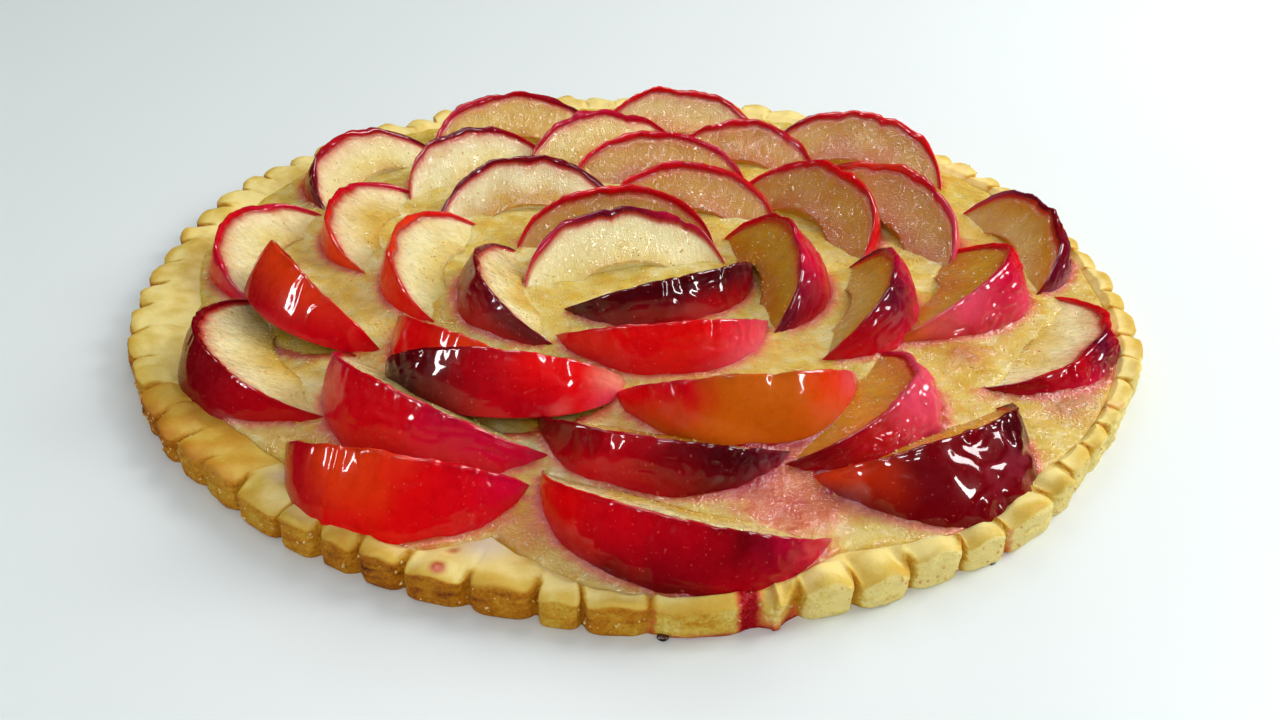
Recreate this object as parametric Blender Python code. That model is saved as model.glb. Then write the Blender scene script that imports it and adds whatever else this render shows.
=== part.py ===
"""White peach tart.

A thin crust with a knife-cut border holds a layer of almond cream. Rings of unpeeled white peach
slices lie in the cream, each on one cut face, with its skin outwards and its stone side inwards.
The origin is the centre of the flat underside, +Z is up and -Y is the front.
"""
import random
from math import atan2, cos, degrees, pi, radians, sin, sqrt

import bmesh
import bpy
from mathutils import Matrix, Vector
from mathutils.geometry import delaunay_2d_cdt
from mathutils.noise import noise

MM = 0.001
GAP = 0.3 * MM

# Crust: a rolled disc of pastry with a raised border cut into lobes
TART_RADIUS = 150 * MM
BASE_THICKNESS = 3 * MM
RIM_HEIGHT = 8.6 * MM
RIM_EDGE_HEIGHT = 7.2 * MM
LOBE_PITCH = 5.2
LOBE_PITCH_SPREAD = 0.7
NOTCH_HALF_WIDTH = 0.62
NOTCH_WIDTHS = (0.7, 1.2)
NOTCH_INSET = 10.5 * MM
THINNEST_WALL = 1.6 * MM
LOBE_SWELL = 0.5 * MM
LOBE_HEIGHTS = (0.94, 1.06)
FULL_PROFILE_WIDTH = 11 * MM
CRUST_SEED = 7

# Sections of the border from its foot over the crown, each a list of inset and rise. The rise is a
# share of the border's height. The inset is a share of the cut's depth at a cut, and in mm at a lobe.
CUT_PROFILE = ((0.15, 0), (0.42, 0.35), (0.52, 0.7), (0.7, 0.9), (1, 0.99))
LOBE_PROFILE = ((0.5, 0), (0, 0.42), (0.7, 0.82), (3.4, 1), (8, 1.02))

# A lobe's first corner, its crown and its second corner: bulge in mm, and share of the lobe's height
FIRST_CORNER = (-0.5, 0.95)
CROWN = (0.4, 1)
SECOND_CORNER = (-0.4, 0.96)

# Bearings of the cuts between the lobes along the front, in degrees from +X
FRONT_CUTS = (
    -156, -150, -144.5, -139.5, -134.5, -129, -123, -118.5, -114, -109.5, -103.5, -97.5, -93.5, -88,
    -80, -75.5, -70.5, -65, -59.5, -54.5, -47.5, -43, -38.5, -34, -30, -24,
)
SPLIT_CUT = -80
SPLIT_HALF_WIDTH = 0.9

# Where the border's inner edge lies: bearing in degrees, radius in mm
INNER_EDGE = (
    (-180, 138), (-167, 132), (-150, 140), (-138, 135), (-130, 133), (-120, 141), (-110, 142),
    (-103, 131), (-97, 140), (-89, 146.5), (-80, 146.5), (-76, 144), (-69, 138), (-61, 144),
    (-54, 145), (-48, 141), (-38, 144), (-18, 145), (4, 143), (22, 143), (35, 140), (60, 139),
    (90, 138), (120, 138), (150, 138), (180, 138),
)

# How far the outline departs from a circle: bearing in degrees, mm outwards
OUTLINE = (
    (-180, 0.3), (-157, 0.8), (-131, -1.3), (-103, -1.0), (-82, 1.3), (-66, 0), (-57, 1.6), (-52, 0.4),
    (-40, -1.2), (-20, 1.5), (5, -1.2), (30, 0.3), (65, 1.0), (76, -0.4), (98, 1.2), (124, -1.4),
    (150, 0.9), (180, 0.3),
)

# Cream: fills the crust up to an uneven level
CREAM_LEVEL = 8.4 * MM
CREAM_EDGE_DROP = 1.2 * MM
CREAM_DROP_START = 0.8
CREAM_WAVE = 0.9 * MM
CREAM_WAVE_SIZE = 22 * MM
CREAM_RIPPLE_SHARE = 0.4
CREAM_RIPPLE_FACTOR = 2.3
CREAM_CELL = 16 * MM
CREAM_EDGE_CELLS = 0.5

# Peach: a slice is a wedge of a turned fruit, spun about the line that its stone side lies on
SLICE_REST_HEIGHT = 4.8 * MM
SLICE_REST_SPREAD = 0.8 * MM
SLICE_SEED = 3
FULLNESS = 2.2
OUTLINE_STEPS = 8
STONE_STEPS = 3
STONE_LENGTH = 0.5
STONE_DEPTH = 0.34
WEDGE_STEPS = 3
SKIN_WAVE = 0.7 * MM
WAVE_SIZE = 14 * MM
SEED_STEP = Vector((17.3, 5.1, 9.7))
STILL_DEPTH = 1.2
STILL_LENGTH = 0.97

# Slices from the middle outwards. Each is: distance of its stone edge from the tart's centre in mm,
# bearing of that point, bearing that its skin faces, length in mm, depth from stone edge to skin in
# mm, and lean of its upper cut face in degrees
SLICES = {
    "centre": (
        (11, -100, 108, 66, 26, 44),
        (13, -67, -63, 64, 27, 37),
    ),
    "first": (
        (36, -78, -81, 63, 29, 35),
        (34, -143, -164, 59, 26, 36),
        (9, 139, 93, 65, 26, 47),
        (34, 60, 88, 60, 27, 36),
        (34, -19, 11, 61, 26, 52),
    ),
    "second": (
        (70, -67, -81, 66, 31, 40),
        (71, -119, -94, 66, 31, 47),
        (64, -126, -120, 62, 29, 43),
        (52, -171, 177, 65, 28, 33),
        (46, 142, 101, 63, 28, 36),
        (55, 83, 90, 65, 28, 35),
        (58, 28, 36, 63, 29, 44),
        (63, -24, -15, 57, 27, 47),
    ),
    "third": (
        (85, -84, -102, 66, 30, 33),
        (89, -121, -127, 71, 33, 40),
        (92, -161, -143, 58, 28, 58),
        (79, 167, 176, 61, 27, 31),
        (77, 134, 123, 59, 27, 38),
        (70, 98, 113, 63, 29, 40),
        (82, 63, 80, 56, 26, 36),
        (78, 17, 45, 66, 30, 46),
        (84, -10, -26, 62, 33, 33),
        (88, -56, -31, 62, 28, 33),
    ),
    "outer": (
        (113, -83, -109, 71, 33, 34),
        (116, -117, -101, 61, 28, 46),
        (105, -148, -151, 66, 32, 28),
        (105, -179, 175, 61, 28, 30),
        (105, 148, 150, 60, 27, 37),
        (97, 118, 107, 67, 30, 38),
        (95, 82, 80, 67, 30, 37),
        (105, 43, 66, 69, 31, 39),
        (117, 7, 10, 58, 25, 43),
        (112, -19, -36, 65, 30, 20),
        (111, -52, -60, 61, 28, 39),
    ),
}

# Slices that lie on others: how far their lower cut face is raised, in degrees
RAISED = {"first_1": 7, "second_2": 16, "third_3": 22}

# Slices that sagged as they baked: how far their skin's foot spreads, in mm
SAGGED = {
    "first_2": 2, "first_5": 2, "third_9": 3, "third_10": 5,
    "outer_3": 4, "outer_5": 5, "outer_9": 2, "outer_10": 4, "outer_11": 8,
}

# Slices of a lopsided peach: how far their fullest point lies off the middle, as a share of the half
LOPSIDED = {"third_9": -0.3, "outer_9": -0.15}

# What counts as too short an edge where a cut piece is tidied
SHORTEST_EDGE = 0.02 * MM
SHARPEST_GROWTH = 3.5

# Base colour and roughness of each finish
CRUST_FINISH = ((0.83, 0.62, 0.30), 0.75)
CREAM_FINISH = ((0.80, 0.66, 0.30), 0.35)
PEACH_FINISH = ((0.52, 0.05, 0.07), 0.25)


def clear_scene():
    for item in list(bpy.data.objects):
        bpy.data.objects.remove(item, do_unlink=True)


def new_collection(name):
    group = bpy.data.collections.new(name)
    bpy.context.scene.collection.children.link(group)
    return group


def new_material(name, finish):
    colour, roughness = finish
    material = bpy.data.materials.new(name)
    material.use_nodes = True
    surface = material.node_tree.nodes["Principled BSDF"]
    surface.inputs["Base Color"].default_value = (*colour, 1)
    surface.inputs["Roughness"].default_value = roughness
    surface.inputs["Metallic"].default_value = 0
    material.diffuse_color = (*colour, 1)
    return material


def new_object(name, bm, group, material=None):
    """Closes the bmesh into a named object with its faces pointing out."""
    bmesh.ops.recalc_face_normals(bm, faces=bm.faces)
    mesh = bpy.data.meshes.new(name)
    bm.to_mesh(mesh)
    bm.free()
    if material:
        mesh.materials.append(material)
    item = bpy.data.objects.new(name, mesh)
    group.objects.link(item)
    return item


def at_bearing(table, bearing):
    """Reads a table of (bearing, value) pairs, straight between its rows."""
    bearing = (bearing + 180) % 360 - 180
    for (low, first), (high, second) in zip(table, table[1:]):
        if low <= bearing <= high:
            return first + (second - first) * (bearing - low) / (high - low)
    return table[-1][1]


def polar(radius, bearing, height):
    return Vector((radius * cos(radians(bearing)), radius * sin(radians(bearing)), height))


def cut_bearings():
    """The front cuts as they lie, and evenly uneven ones round the back to the first again."""
    draw = random.Random(CRUST_SEED)
    start = FRONT_CUTS[-1]
    span = FRONT_CUTS[0] + 360 - start
    count = round(span / LOBE_PITCH)
    widths = [LOBE_PITCH + draw.uniform(-LOBE_PITCH_SPREAD, LOBE_PITCH_SPREAD) for _ in range(count)]
    stretch = span / sum(widths)
    cuts = list(FRONT_CUTS)
    for width in widths[:-1]:
        cuts.append(cuts[-1] + width * stretch)
    return cuts


def border_column(bearing, outer, inner, height, cut):
    """One upright section of the border, from its foot over the crown to the inner foot."""
    width = outer - inner
    if cut:
        depth = min(NOTCH_INSET, width - THINNEST_WALL)
        points = [(outer - depth * inset, height * rise) for inset, rise in CUT_PROFILE]
    else:
        reach = min(1, width / FULL_PROFILE_WIDTH)
        points = [(outer - reach * inset * MM, height * rise) for inset, rise in LOBE_PROFILE]
    points.append((inner, RIM_EDGE_HEIGHT))
    points.append((inner, BASE_THICKNESS))
    return [polar(radius, bearing, level) for radius, level in points]


def crust_columns():
    """Four columns a lobe: the cut, the lobe's first corner, its crown and its second corner."""
    draw = random.Random(CRUST_SEED + 1)
    cuts = cut_bearings()
    columns = []
    for bearing, following in zip(cuts, cuts[1:] + [cuts[0] + 360]):
        swell = draw.uniform(-LOBE_SWELL, LOBE_SWELL)
        height = RIM_HEIGHT * draw.uniform(*LOBE_HEIGHTS)
        split = bearing == SPLIT_CUT
        half_width = SPLIT_HALF_WIDTH if split else NOTCH_HALF_WIDTH * draw.uniform(*NOTCH_WIDTHS)
        edge = TART_RADIUS + at_bearing(OUTLINE, bearing) * MM + swell
        width = following - bearing
        inner = at_bearing(INNER_EDGE, bearing) * MM
        rise = (at_bearing(INNER_EDGE, following) * MM - inner) / width
        columns.append(border_column(bearing, edge, inner, RIM_HEIGHT, True))
        turns = (half_width, width / 2, width - half_width)
        for turn, (bulge, share) in zip(turns, (FIRST_CORNER, CROWN, SECOND_CORNER)):
            columns.append(border_column(
                bearing + turn, edge + bulge * MM, inner + rise * turn, height * share, False))
    return columns


def build_crust(group, material):
    """Joins the columns into a ring, and closes it with the underside and the floor under the cream."""
    bm = bmesh.new()
    columns = [[bm.verts.new(point) for point in column] for column in crust_columns()]
    for column, following in zip(columns, columns[1:] + columns[:1]):
        for step in range(len(column) - 1):
            bm.faces.new((column[step], following[step], following[step + 1], column[step + 1]))
    bm.faces.new([column[0] for column in reversed(columns)])
    bm.faces.new([column[-1] for column in columns])
    return new_object("crust", bm, group, material)


def cream_height(x, y):
    """Level of the cream: low waves between the slices, and a drop to the border."""
    place = Vector((x, y, 0)) / CREAM_WAVE_SIZE
    ripple = CREAM_RIPPLE_SHARE * noise(place * CREAM_RIPPLE_FACTOR)
    wave = CREAM_WAVE * (noise(place) + ripple)
    reach = sqrt(x * x + y * y) / TART_RADIUS
    drop = max(0, reach - CREAM_DROP_START) / (1 - CREAM_DROP_START)
    return CREAM_LEVEL + wave - CREAM_EDGE_DROP * drop


def cream_points(edge):
    """Points of the cream's surface: its edge, then staggered rows inside it."""
    points = [Vector((corner.x, corner.y)) for corner in edge]
    rows = int(TART_RADIUS / CREAM_CELL) + 1
    for row in range(-rows, rows + 1):
        for place in range(-rows, rows + 1):
            x = (place + 0.5 * (row % 2)) * CREAM_CELL
            y = row * CREAM_CELL * sqrt(3) / 2
            limit = at_bearing(INNER_EDGE, degrees(atan2(y, x))) * MM - CREAM_EDGE_CELLS * CREAM_CELL
            if sqrt(x * x + y * y) < limit:
                points.append(Vector((x, y)))
    return points


def build_cream(group, material):
    """A layer over the crust's floor, up to the cream's level."""
    edge = []
    for bearing in cut_bearings():
        inner = at_bearing(INNER_EDGE, bearing) * MM - GAP
        edge.append(polar(inner, bearing, BASE_THICKNESS + GAP))
    points = cream_points(edge)
    outline = list(range(len(edge)))
    flat = delaunay_2d_cdt(points, [], [outline], 1, 1e-6)
    bm = bmesh.new()
    top = [bm.verts.new((p.x, p.y, cream_height(p.x, p.y))) for p in flat[0]]
    for corners in flat[2]:
        bm.faces.new([top[corner] for corner in corners])
    bottom = [bm.verts.new(corner) for corner in edge]
    for here in outline:
        after = (here + 1) % len(outline)
        bm.faces.new((bottom[here], bottom[after], top[after], top[here]))
    bm.faces.new(list(reversed(bottom)))
    return new_object("cream", bm, group, material)


def skin_distance(along, depth, peak):
    """Distance of the skin from the stone edge, at a share along the slice from -1 to 1."""
    shifted = along - peak * (1 - along * along)
    return depth * sqrt(max(0, 1 - abs(shifted) ** FULLNESS))


def slice_mesh(key, seed):
    """A wedge of peach: its cut face's outline, spun about the line of its stone edge."""
    ring, number = key.split("_")
    _, _, _, length, depth, lean = SLICES[ring][int(number) - 1]
    raised = radians(RAISED.get(key, 0))
    wedge = radians(lean) - raised
    peak = LOPSIDED.get(key, 0)
    half = length / 2 * MM
    reach = depth * MM
    stone_half = half * STONE_LENGTH
    stone_depth = reach * STONE_DEPTH
    bm = bmesh.new()
    outline = []
    for step in range(OUTLINE_STEPS + 1):
        along = -cos(pi * step / OUTLINE_STEPS)
        outline.append(bm.verts.new((along * half, skin_distance(along, reach, peak), 0)))
    for step in range(STONE_STEPS + 1):
        angle = pi * step / STONE_STEPS
        outline.append(bm.verts.new((stone_half * cos(angle), stone_depth * sin(angle), 0)))
    face = bm.faces.new(outline)
    bmesh.ops.spin(bm, geom=[face], cent=(0, 0, 0), axis=(1, 0, 0), dvec=(0, 0, 0),
                   angle=wedge, steps=WEDGE_STEPS, use_merge=False, use_duplicate=False)
    bmesh.ops.remove_doubles(bm, verts=bm.verts, dist=SHORTEST_EDGE)
    bmesh.ops.dissolve_degenerate(bm, edges=bm.edges, dist=SHORTEST_EDGE)
    sag = SAGGED.get(key, 0) * MM
    offset = SEED_STEP * seed
    for vert in bm.verts:
        outwards = Vector((0, vert.co.y, vert.co.z))
        if outwards.length < stone_depth * STILL_DEPTH or abs(vert.co.x) > half * STILL_LENGTH:
            continue
        wave = SKIN_WAVE * noise(vert.co / WAVE_SIZE + offset)
        low = 1 - atan2(vert.co.z, vert.co.y) / wedge
        vert.co += outwards.normalized() * (wave + sag * low * outwards.length / reach)
    bmesh.ops.rotate(bm, verts=bm.verts, cent=(0, 0, 0), matrix=Matrix.Rotation(raised, 3, 'X'))
    return bm


def grow(bm):
    """Moves every face outwards by the gap that neighbours keep."""
    bmesh.ops.recalc_face_normals(bm, faces=bm.faces)
    bm.normal_update()
    moves = [vert.normal * GAP * min(vert.calc_shell_factor(), SHARPEST_GROWTH) for vert in bm.verts]
    for vert, move in zip(bm.verts, moves):
        vert.co += move
    return bm


def place_slice(item, spot, height):
    distance, bearing, facing, _, _, _ = spot
    item.location = polar(distance * MM, bearing, height)
    item.rotation_euler.z = radians(facing - 90)


def make_cutter(item):
    item.hide_render = True
    item.display_type = 'WIRE'


def apply_cuts(item, cutters, solver='EXACT'):
    """Cuts the item with every cutter, and keeps the largest piece."""
    for cutter in cutters:
        cut = item.modifiers.new("cut", 'BOOLEAN')
        cut.operation = 'DIFFERENCE'
        cut.solver = solver
        cut.object = cutter
    bpy.context.view_layer.update()
    evaluated = item.evaluated_get(bpy.context.evaluated_depsgraph_get())
    mesh = bpy.data.meshes.new_from_object(evaluated)
    item.modifiers.clear()
    item.data = mesh
    keep_largest_piece(mesh)


def piece_of(start):
    """The vertices joined to this one by edges."""
    found = {start}
    waiting = [start]
    while waiting:
        for edge in waiting.pop().link_edges:
            for vert in edge.verts:
                if vert not in found:
                    found.add(vert)
                    waiting.append(vert)
    return found


def neighbours(vert):
    return {edge.other_vert(vert) for edge in vert.link_edges}


def merge_short_edges(bm):
    """Closes up the short edges of a triangulated solid where it stays a closed surface."""
    short = [edge for edge in bm.edges if edge.calc_length() < SHORTEST_EDGE]
    for edge in sorted(short, key=lambda edge: edge.calc_length()):
        if not edge.is_valid:
            continue
        one, other = edge.verts
        if len(neighbours(one) & neighbours(other)) == 2:
            bmesh.ops.pointmerge(bm, verts=[one, other], merge_co=one.co)


def drop_flaps(bm):
    """Removes pairs of faces that lie back to back on the same corners, and their loose edges."""
    by_corners = {}
    for face in bm.faces:
        by_corners.setdefault(frozenset(face.verts), []).append(face)
    flaps = [face for faces in by_corners.values() if len(faces) > 1 for face in faces]
    bmesh.ops.delete(bm, geom=flaps, context='FACES_ONLY')
    bmesh.ops.delete(bm, geom=[edge for edge in bm.edges if edge.is_wire], context='EDGES')


def keep_largest_piece(mesh):
    """Drops the scraps, the flaps and the needless short edges that a cut leaves."""
    bm = bmesh.new()
    bm.from_mesh(mesh)
    bmesh.ops.triangulate(bm, faces=bm.faces)
    merge_short_edges(bm)
    drop_flaps(bm)
    left = set(bm.verts)
    pieces = []
    while left:
        piece = piece_of(next(iter(left)))
        pieces.append(piece)
        left -= piece
    pieces.sort(key=len)
    for scrap in pieces[:-1]:
        bmesh.ops.delete(bm, geom=list(scrap), context='VERTS')
    bm.to_mesh(mesh)
    bm.free()


def boxes_touch(one, other):
    def span(item):
        corners = [item.matrix_world @ Vector(corner) for corner in item.bound_box]
        return [(min(c[axis] for c in corners), max(c[axis] for c in corners)) for axis in range(3)]
    return all(a[0] < b[1] and b[0] < a[1] for a, b in zip(span(one), span(other)))


def build_slices(group, cutter_group, material):
    """All slices in their places. Each later one gives way to those further in that it meets."""
    draw = random.Random(SLICE_SEED)
    slices = []
    cutters = []
    for ring, spots in SLICES.items():
        for number, spot in enumerate(spots, 1):
            key = f"{ring}_{number}"
            seed = len(slices) + 1
            height = SLICE_REST_HEIGHT + draw.uniform(0, SLICE_REST_SPREAD)
            item = new_object("peach_" + key, slice_mesh(key, seed), group, material)
            cutter = new_object(key + "_room", grow(slice_mesh(key, seed)), cutter_group)
            make_cutter(cutter)
            place_slice(item, spot, height)
            place_slice(cutter, spot, height)
            slices.append(item)
            cutters.append(cutter)
    bpy.context.view_layer.update()
    for index, item in enumerate(slices):
        meeting = [cutter for cutter in cutters[:index] if boxes_touch(item, cutter)]
        if meeting:
            apply_cuts(item, meeting)
    return cutters


def build_tart():
    clear_scene()
    tart = new_collection("white peach tart")
    cutter_group = new_collection("cutters")
    crust = build_crust(tart, new_material("crust", CRUST_FINISH))
    cream = build_cream(tart, new_material("cream", CREAM_FINISH))
    cutters = build_slices(tart, cutter_group, new_material("peach", PEACH_FINISH))
    apply_cuts(cream, cutters, 'MANIFOLD')
    apply_cuts(crust, [cutter for cutter in cutters if "outer" in cutter.name])


build_tart()
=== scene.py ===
"""The looks of the white peach tart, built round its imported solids. Metres, +Z up, -Y is the front."""
import random
from math import cos, pi, radians, sin

import bmesh
import bpy
import numpy as np
from mathutils import Matrix, Vector
from mathutils.noise import noise


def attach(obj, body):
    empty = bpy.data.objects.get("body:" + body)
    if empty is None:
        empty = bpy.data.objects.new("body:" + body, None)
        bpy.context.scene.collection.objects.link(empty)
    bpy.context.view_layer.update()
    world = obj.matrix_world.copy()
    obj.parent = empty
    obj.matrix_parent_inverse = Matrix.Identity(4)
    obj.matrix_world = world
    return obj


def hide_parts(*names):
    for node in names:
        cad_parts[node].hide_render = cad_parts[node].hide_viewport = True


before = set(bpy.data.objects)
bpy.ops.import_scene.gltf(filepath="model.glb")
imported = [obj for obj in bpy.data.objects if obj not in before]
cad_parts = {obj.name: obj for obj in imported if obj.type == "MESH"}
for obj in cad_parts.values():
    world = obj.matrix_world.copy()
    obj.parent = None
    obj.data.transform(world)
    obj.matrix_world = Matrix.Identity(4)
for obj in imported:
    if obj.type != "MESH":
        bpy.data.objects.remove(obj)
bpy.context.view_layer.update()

# Crust
# A rolled disc of shortcrust about 300 mm across. Its border was cut through with a knife every
# 14 mm, so it baked into lobes: smooth and pale on top, rough, layered and golden on the cut faces.
MM = 0.001
TART_RADIUS = 150
BASE_THICKNESS = 3
RIM_HEIGHT = 8.6
RIM_EDGE_HEIGHT = 7.2
LOBE_PITCH = 5.2
LOBE_PITCH_SPREAD = 0.7
NOTCH_HALF_WIDTH = 0.72
NOTCH_WIDTH_SPREAD = (0.7, 1.2)
NOTCH_REACH = (5.5, 9)
NOTCH_SLANT = 0.22
SLANT_REACH = 9
THINNEST_WALL = 1.6
LOBE_SWELL = 0.7
LOBE_HEIGHT_SPREAD = (0.88, 1.1)
LOBE_DOME_SPREAD = (0.6, 1.5)
LOBE_SKEW = 0.9
LAYERS_SHOWN = (0, 0, 0.5, 1, 1.4)
BROWN_SPREAD = (-0.12, 0.14)
CRUST_SEED = 7
SLOT_COLUMNS = 5
LOBE_COLUMNS = 17

# The cut that opened into a split, the low lobe before it, and the high domed lobes after it, by the
# bearings of their cuts
SPLIT_CUT = -80
SPLIT_HALF_WIDTH = 1.9
SPLIT_FLOOR_SHARE = 0.5
LOW_LOBE = -88
LOW_LOBE_HEIGHT = 0.84
LOW_LOBE_LAYERS = 0.6
KNUCKLES = (-80, -45)
KNUCKLE_DOME = 2.3

# How far the border's faces stand out and in as baked, in mm: layers, grit, lumps and swells
ROUGHNESS = 0.42
GRIT = 0.25
LUMP_DEPTH = 0.5
SEAM_DEPTH = 0.8
TOP_SWELL = 0.65
TOP_LUMP = 0.45

# Bearings of the cuts between the lobes along the front, in degrees from +X
FRONT_CUTS = (
    -156, -150, -144.5, -139.5, -134.5, -129, -123, -118.5, -114, -109.5, -103.5, -97.5, -93.5, -88,
    -80, -75.5, -70.5, -65, -59.5, -54.5, -47.5, -43, -38.5, -34, -30, -24,
)

# Where the border's inner edge lies: bearing in degrees, radius in mm
INNER_EDGE = np.array((
    (-180, 138), (-167, 132), (-150, 140), (-138, 135), (-130, 133), (-120, 141), (-110, 142),
    (-103, 131), (-97, 140), (-89, 146.5), (-80, 146.5), (-76, 144), (-69, 138), (-61, 144),
    (-54, 145), (-48, 141), (-38, 144), (-18, 145), (4, 143), (22, 143), (35, 140), (60, 139),
    (90, 138), (120, 138), (150, 138), (180, 138),
))

# How far the outline departs from a circle: bearing in degrees, mm outwards
OUTLINE = np.array((
    (-180, 0.3), (-157, 0.8), (-131, -1.3), (-103, -1.0), (-82, 1.3), (-66, 0), (-57, 1.6), (-52, 0.4),
    (-40, -1.2), (-20, 1.5), (5, -1.2), (30, 0.3), (65, 1.0), (76, -0.4), (98, 1.2), (124, -1.4),
    (150, 0.9), (180, 0.3),
))

# A lobe's profile and a cut's, at the same steps from the foot over the crown: inset and rise
LOBE_INSETS = (0.7, 0.2, 0.05, 0, 0.02, 0.1, 0.4, 1.2, 3.2, 8.0)
LOBE_RISES = (0, 0.05, 0.22, 0.45, 0.68, 0.85, 0.94, 0.99, 1.02, 1.03)
CUT_INSETS = (0.5, 0.54, 0.58, 0.62, 0.66, 0.70, 0.76, 0.84, 0.92, 1.0)
CUT_RISES = (0, 0.06, 0.2, 0.35, 0.6, 0.76, 0.87, 0.95, 0.99, 1.0)
ROWS_BETWEEN = (2, 3, 5, 5, 4, 3, 3, 4, 6)
INNER_ROWS = 14


def at_bearing(rows, bearing):
    """Reads rows of (bearing, value), straight between them."""
    return np.interp((bearing + 180) % 360 - 180, rows[:, 0], rows[:, 1])


def waves(places, size, seed=0.0):
    """Smooth noise from -1 to 1 at each place, with bumps of the given size."""
    scaled = places / size + np.array((17.3, 5.1, 9.7)) * seed
    return np.array([noise(place) for place in scaled.tolist()])


def ease(share):
    share = np.clip(share, 0, 1)
    return share * share * (3 - 2 * share)


def cut_bearings():
    """The front cuts as they lie, and evenly uneven ones round the back to the first again."""
    draw = random.Random(CRUST_SEED)
    start = FRONT_CUTS[-1]
    span = FRONT_CUTS[0] + 360 - start
    count = round(span / LOBE_PITCH)
    widths = [LOBE_PITCH + draw.uniform(-LOBE_PITCH_SPREAD, LOBE_PITCH_SPREAD) for _ in range(count)]
    stretch = span / sum(widths)
    cuts = list(FRONT_CUTS)
    for width in widths[:-1]:
        cuts.append(cuts[-1] + width * stretch)
    return cuts


def crust_columns():
    """For each upright section: bearing, turn from its cut, turn to the next, and its lobe's facts."""
    draw = random.Random(CRUST_SEED + 1)
    habit = random.Random(CRUST_SEED + 2)
    cuts = cut_bearings()
    reaches = [habit.uniform(*NOTCH_REACH) for _ in cuts]
    slants = [habit.uniform(-NOTCH_SLANT, NOTCH_SLANT) for _ in cuts]
    columns = []
    for number, (bearing, following) in enumerate(zip(cuts, cuts[1:] + [cuts[0] + 360])):
        swell = draw.uniform(-LOBE_SWELL, LOBE_SWELL)
        height = RIM_HEIGHT * draw.uniform(*LOBE_HEIGHT_SPREAD)
        split = bearing == SPLIT_CUT
        half = SPLIT_HALF_WIDTH if split else NOTCH_HALF_WIDTH * draw.uniform(*NOTCH_WIDTH_SPREAD)
        layered = habit.choice(LAYERS_SHOWN)
        brown = habit.uniform(*BROWN_SPREAD)
        knuckle = KNUCKLES[0] <= bearing < KNUCKLES[1]
        domed = KNUCKLE_DOME if knuckle else habit.uniform(*LOBE_DOME_SPREAD)
        skew = habit.uniform(-LOBE_SKEW, LOBE_SKEW)
        if bearing == LOW_LOBE:
            height, domed, layered = RIM_HEIGHT * LOW_LOBE_HEIGHT, 0, LOW_LOBE_LAYERS
        width = following - bearing
        after = (number + 1) % len(cuts)
        turns = [half * step / SLOT_COLUMNS for step in range(SLOT_COLUMNS)]
        turns += list(np.linspace(half, width - half, LOBE_COLUMNS))
        turns += [width - half * step / SLOT_COLUMNS for step in range(SLOT_COLUMNS - 1, 0, -1)]
        for turn in turns:
            reach = reaches[number] + (reaches[after] - reaches[number]) * turn / width
            slant = slants[number] + (slants[after] - slants[number]) * turn / width
            columns.append((bearing, turn, width, half, swell, height, layered, brown, domed, reach, skew,
                            slant, number))
    return np.array(columns)


def spread_rows(values):
    """Fills in the rows between the steps of a profile."""
    steps = np.cumsum((0, *ROWS_BETWEEN))
    return np.interp(np.arange(steps[-1] + 1), steps, values)


def smooth_rows(grid):
    """Rounds off the corners of a profile, and then the columns a little."""
    for _ in range(2):
        inside = (grid[:, :-2] + 2 * grid[:, 1:-1] + grid[:, 2:]) / 4
        grid = np.hstack((grid[:, :1], inside, grid[:, -1:]))
    return (np.roll(grid, 1, 0) + 2 * grid + np.roll(grid, -1, 0)) / 4


def closed_ring(columns, rows):
    """Faces of a band of columns that closes on itself, with a lid on its first and its last row."""
    here = np.arange(columns)[:, None] * rows
    after = (np.arange(columns)[:, None] + 1) % columns * rows
    step = np.arange(rows - 1)[None, :]
    quads = np.stack((here + step, after + step, after + step + 1, here + step + 1), -1).reshape(-1, 4)
    first = (np.arange(columns)[::-1] * rows).tolist()
    last = (np.arange(columns) * rows + rows - 1).tolist()
    return quads.tolist() + [first, last]


def new_piece(name, points, faces, *materials):
    """A smooth-shaded mesh object from points in mm."""
    mesh = bpy.data.meshes.new(name)
    mesh.from_pydata((np.asarray(points) * MM).tolist(), [], faces)
    mesh.polygons.foreach_set("use_smooth", [True] * len(mesh.polygons))
    for material in materials:
        mesh.materials.append(material)
    item = bpy.data.objects.new(name, mesh)
    bpy.context.scene.collection.objects.link(item)
    return item


def add_values(item, name, values):
    layer = item.data.attributes.new(name, 'FLOAT', 'POINT')
    layer.data.foreach_set("value", np.asarray(values, np.float32).ravel())


def add_colours(item, name, colours):
    layer = item.data.color_attributes.new(name, 'FLOAT_COLOR', 'POINT')
    full = np.ones((len(colours), 4), np.float32)
    full[:, :3] = colours
    layer.data.foreach_set("color", full.ravel())


def tone(red, green, blue):
    """A colour as it looks on a screen, 0 to 255, as linear values."""
    shares = np.array((red, green, blue)) / 255
    return np.where(shares <= 0.04045, shares / 12.92, ((shares + 0.055) / 1.055) ** 2.4)


def border_browning_and_light(cut, rough, lumps, swells, seam, brown, from_edge):
    """How brown the border's outer face and its top are, with painted light and shade: lighter to the right,
    darkest on the left.
    """
    # Painted light: the right of the border is made lighter, where the window lights it.
    painted_light_right = ease((cut + 105) / 35) * ease((170 - cut) / 60)
    # Painted shade: the tops on the left are made darker, where they lie in shade.
    painted_shade_left = ease((-124 - cut) / 14) * ease((cut + 160) / 14)
    face = 0.6 - 0.68 * painted_light_right + 0.14 * (rough + lumps + seam) + brown
    top = 0.06 - 0.06 * painted_light_right + 0.3 * painted_shade_left + 0.16 * swells + 0.12 * lumps + 0.4 * brown
    return face, top + 0.2 * ease((5 - from_edge) / 4.5)


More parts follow.
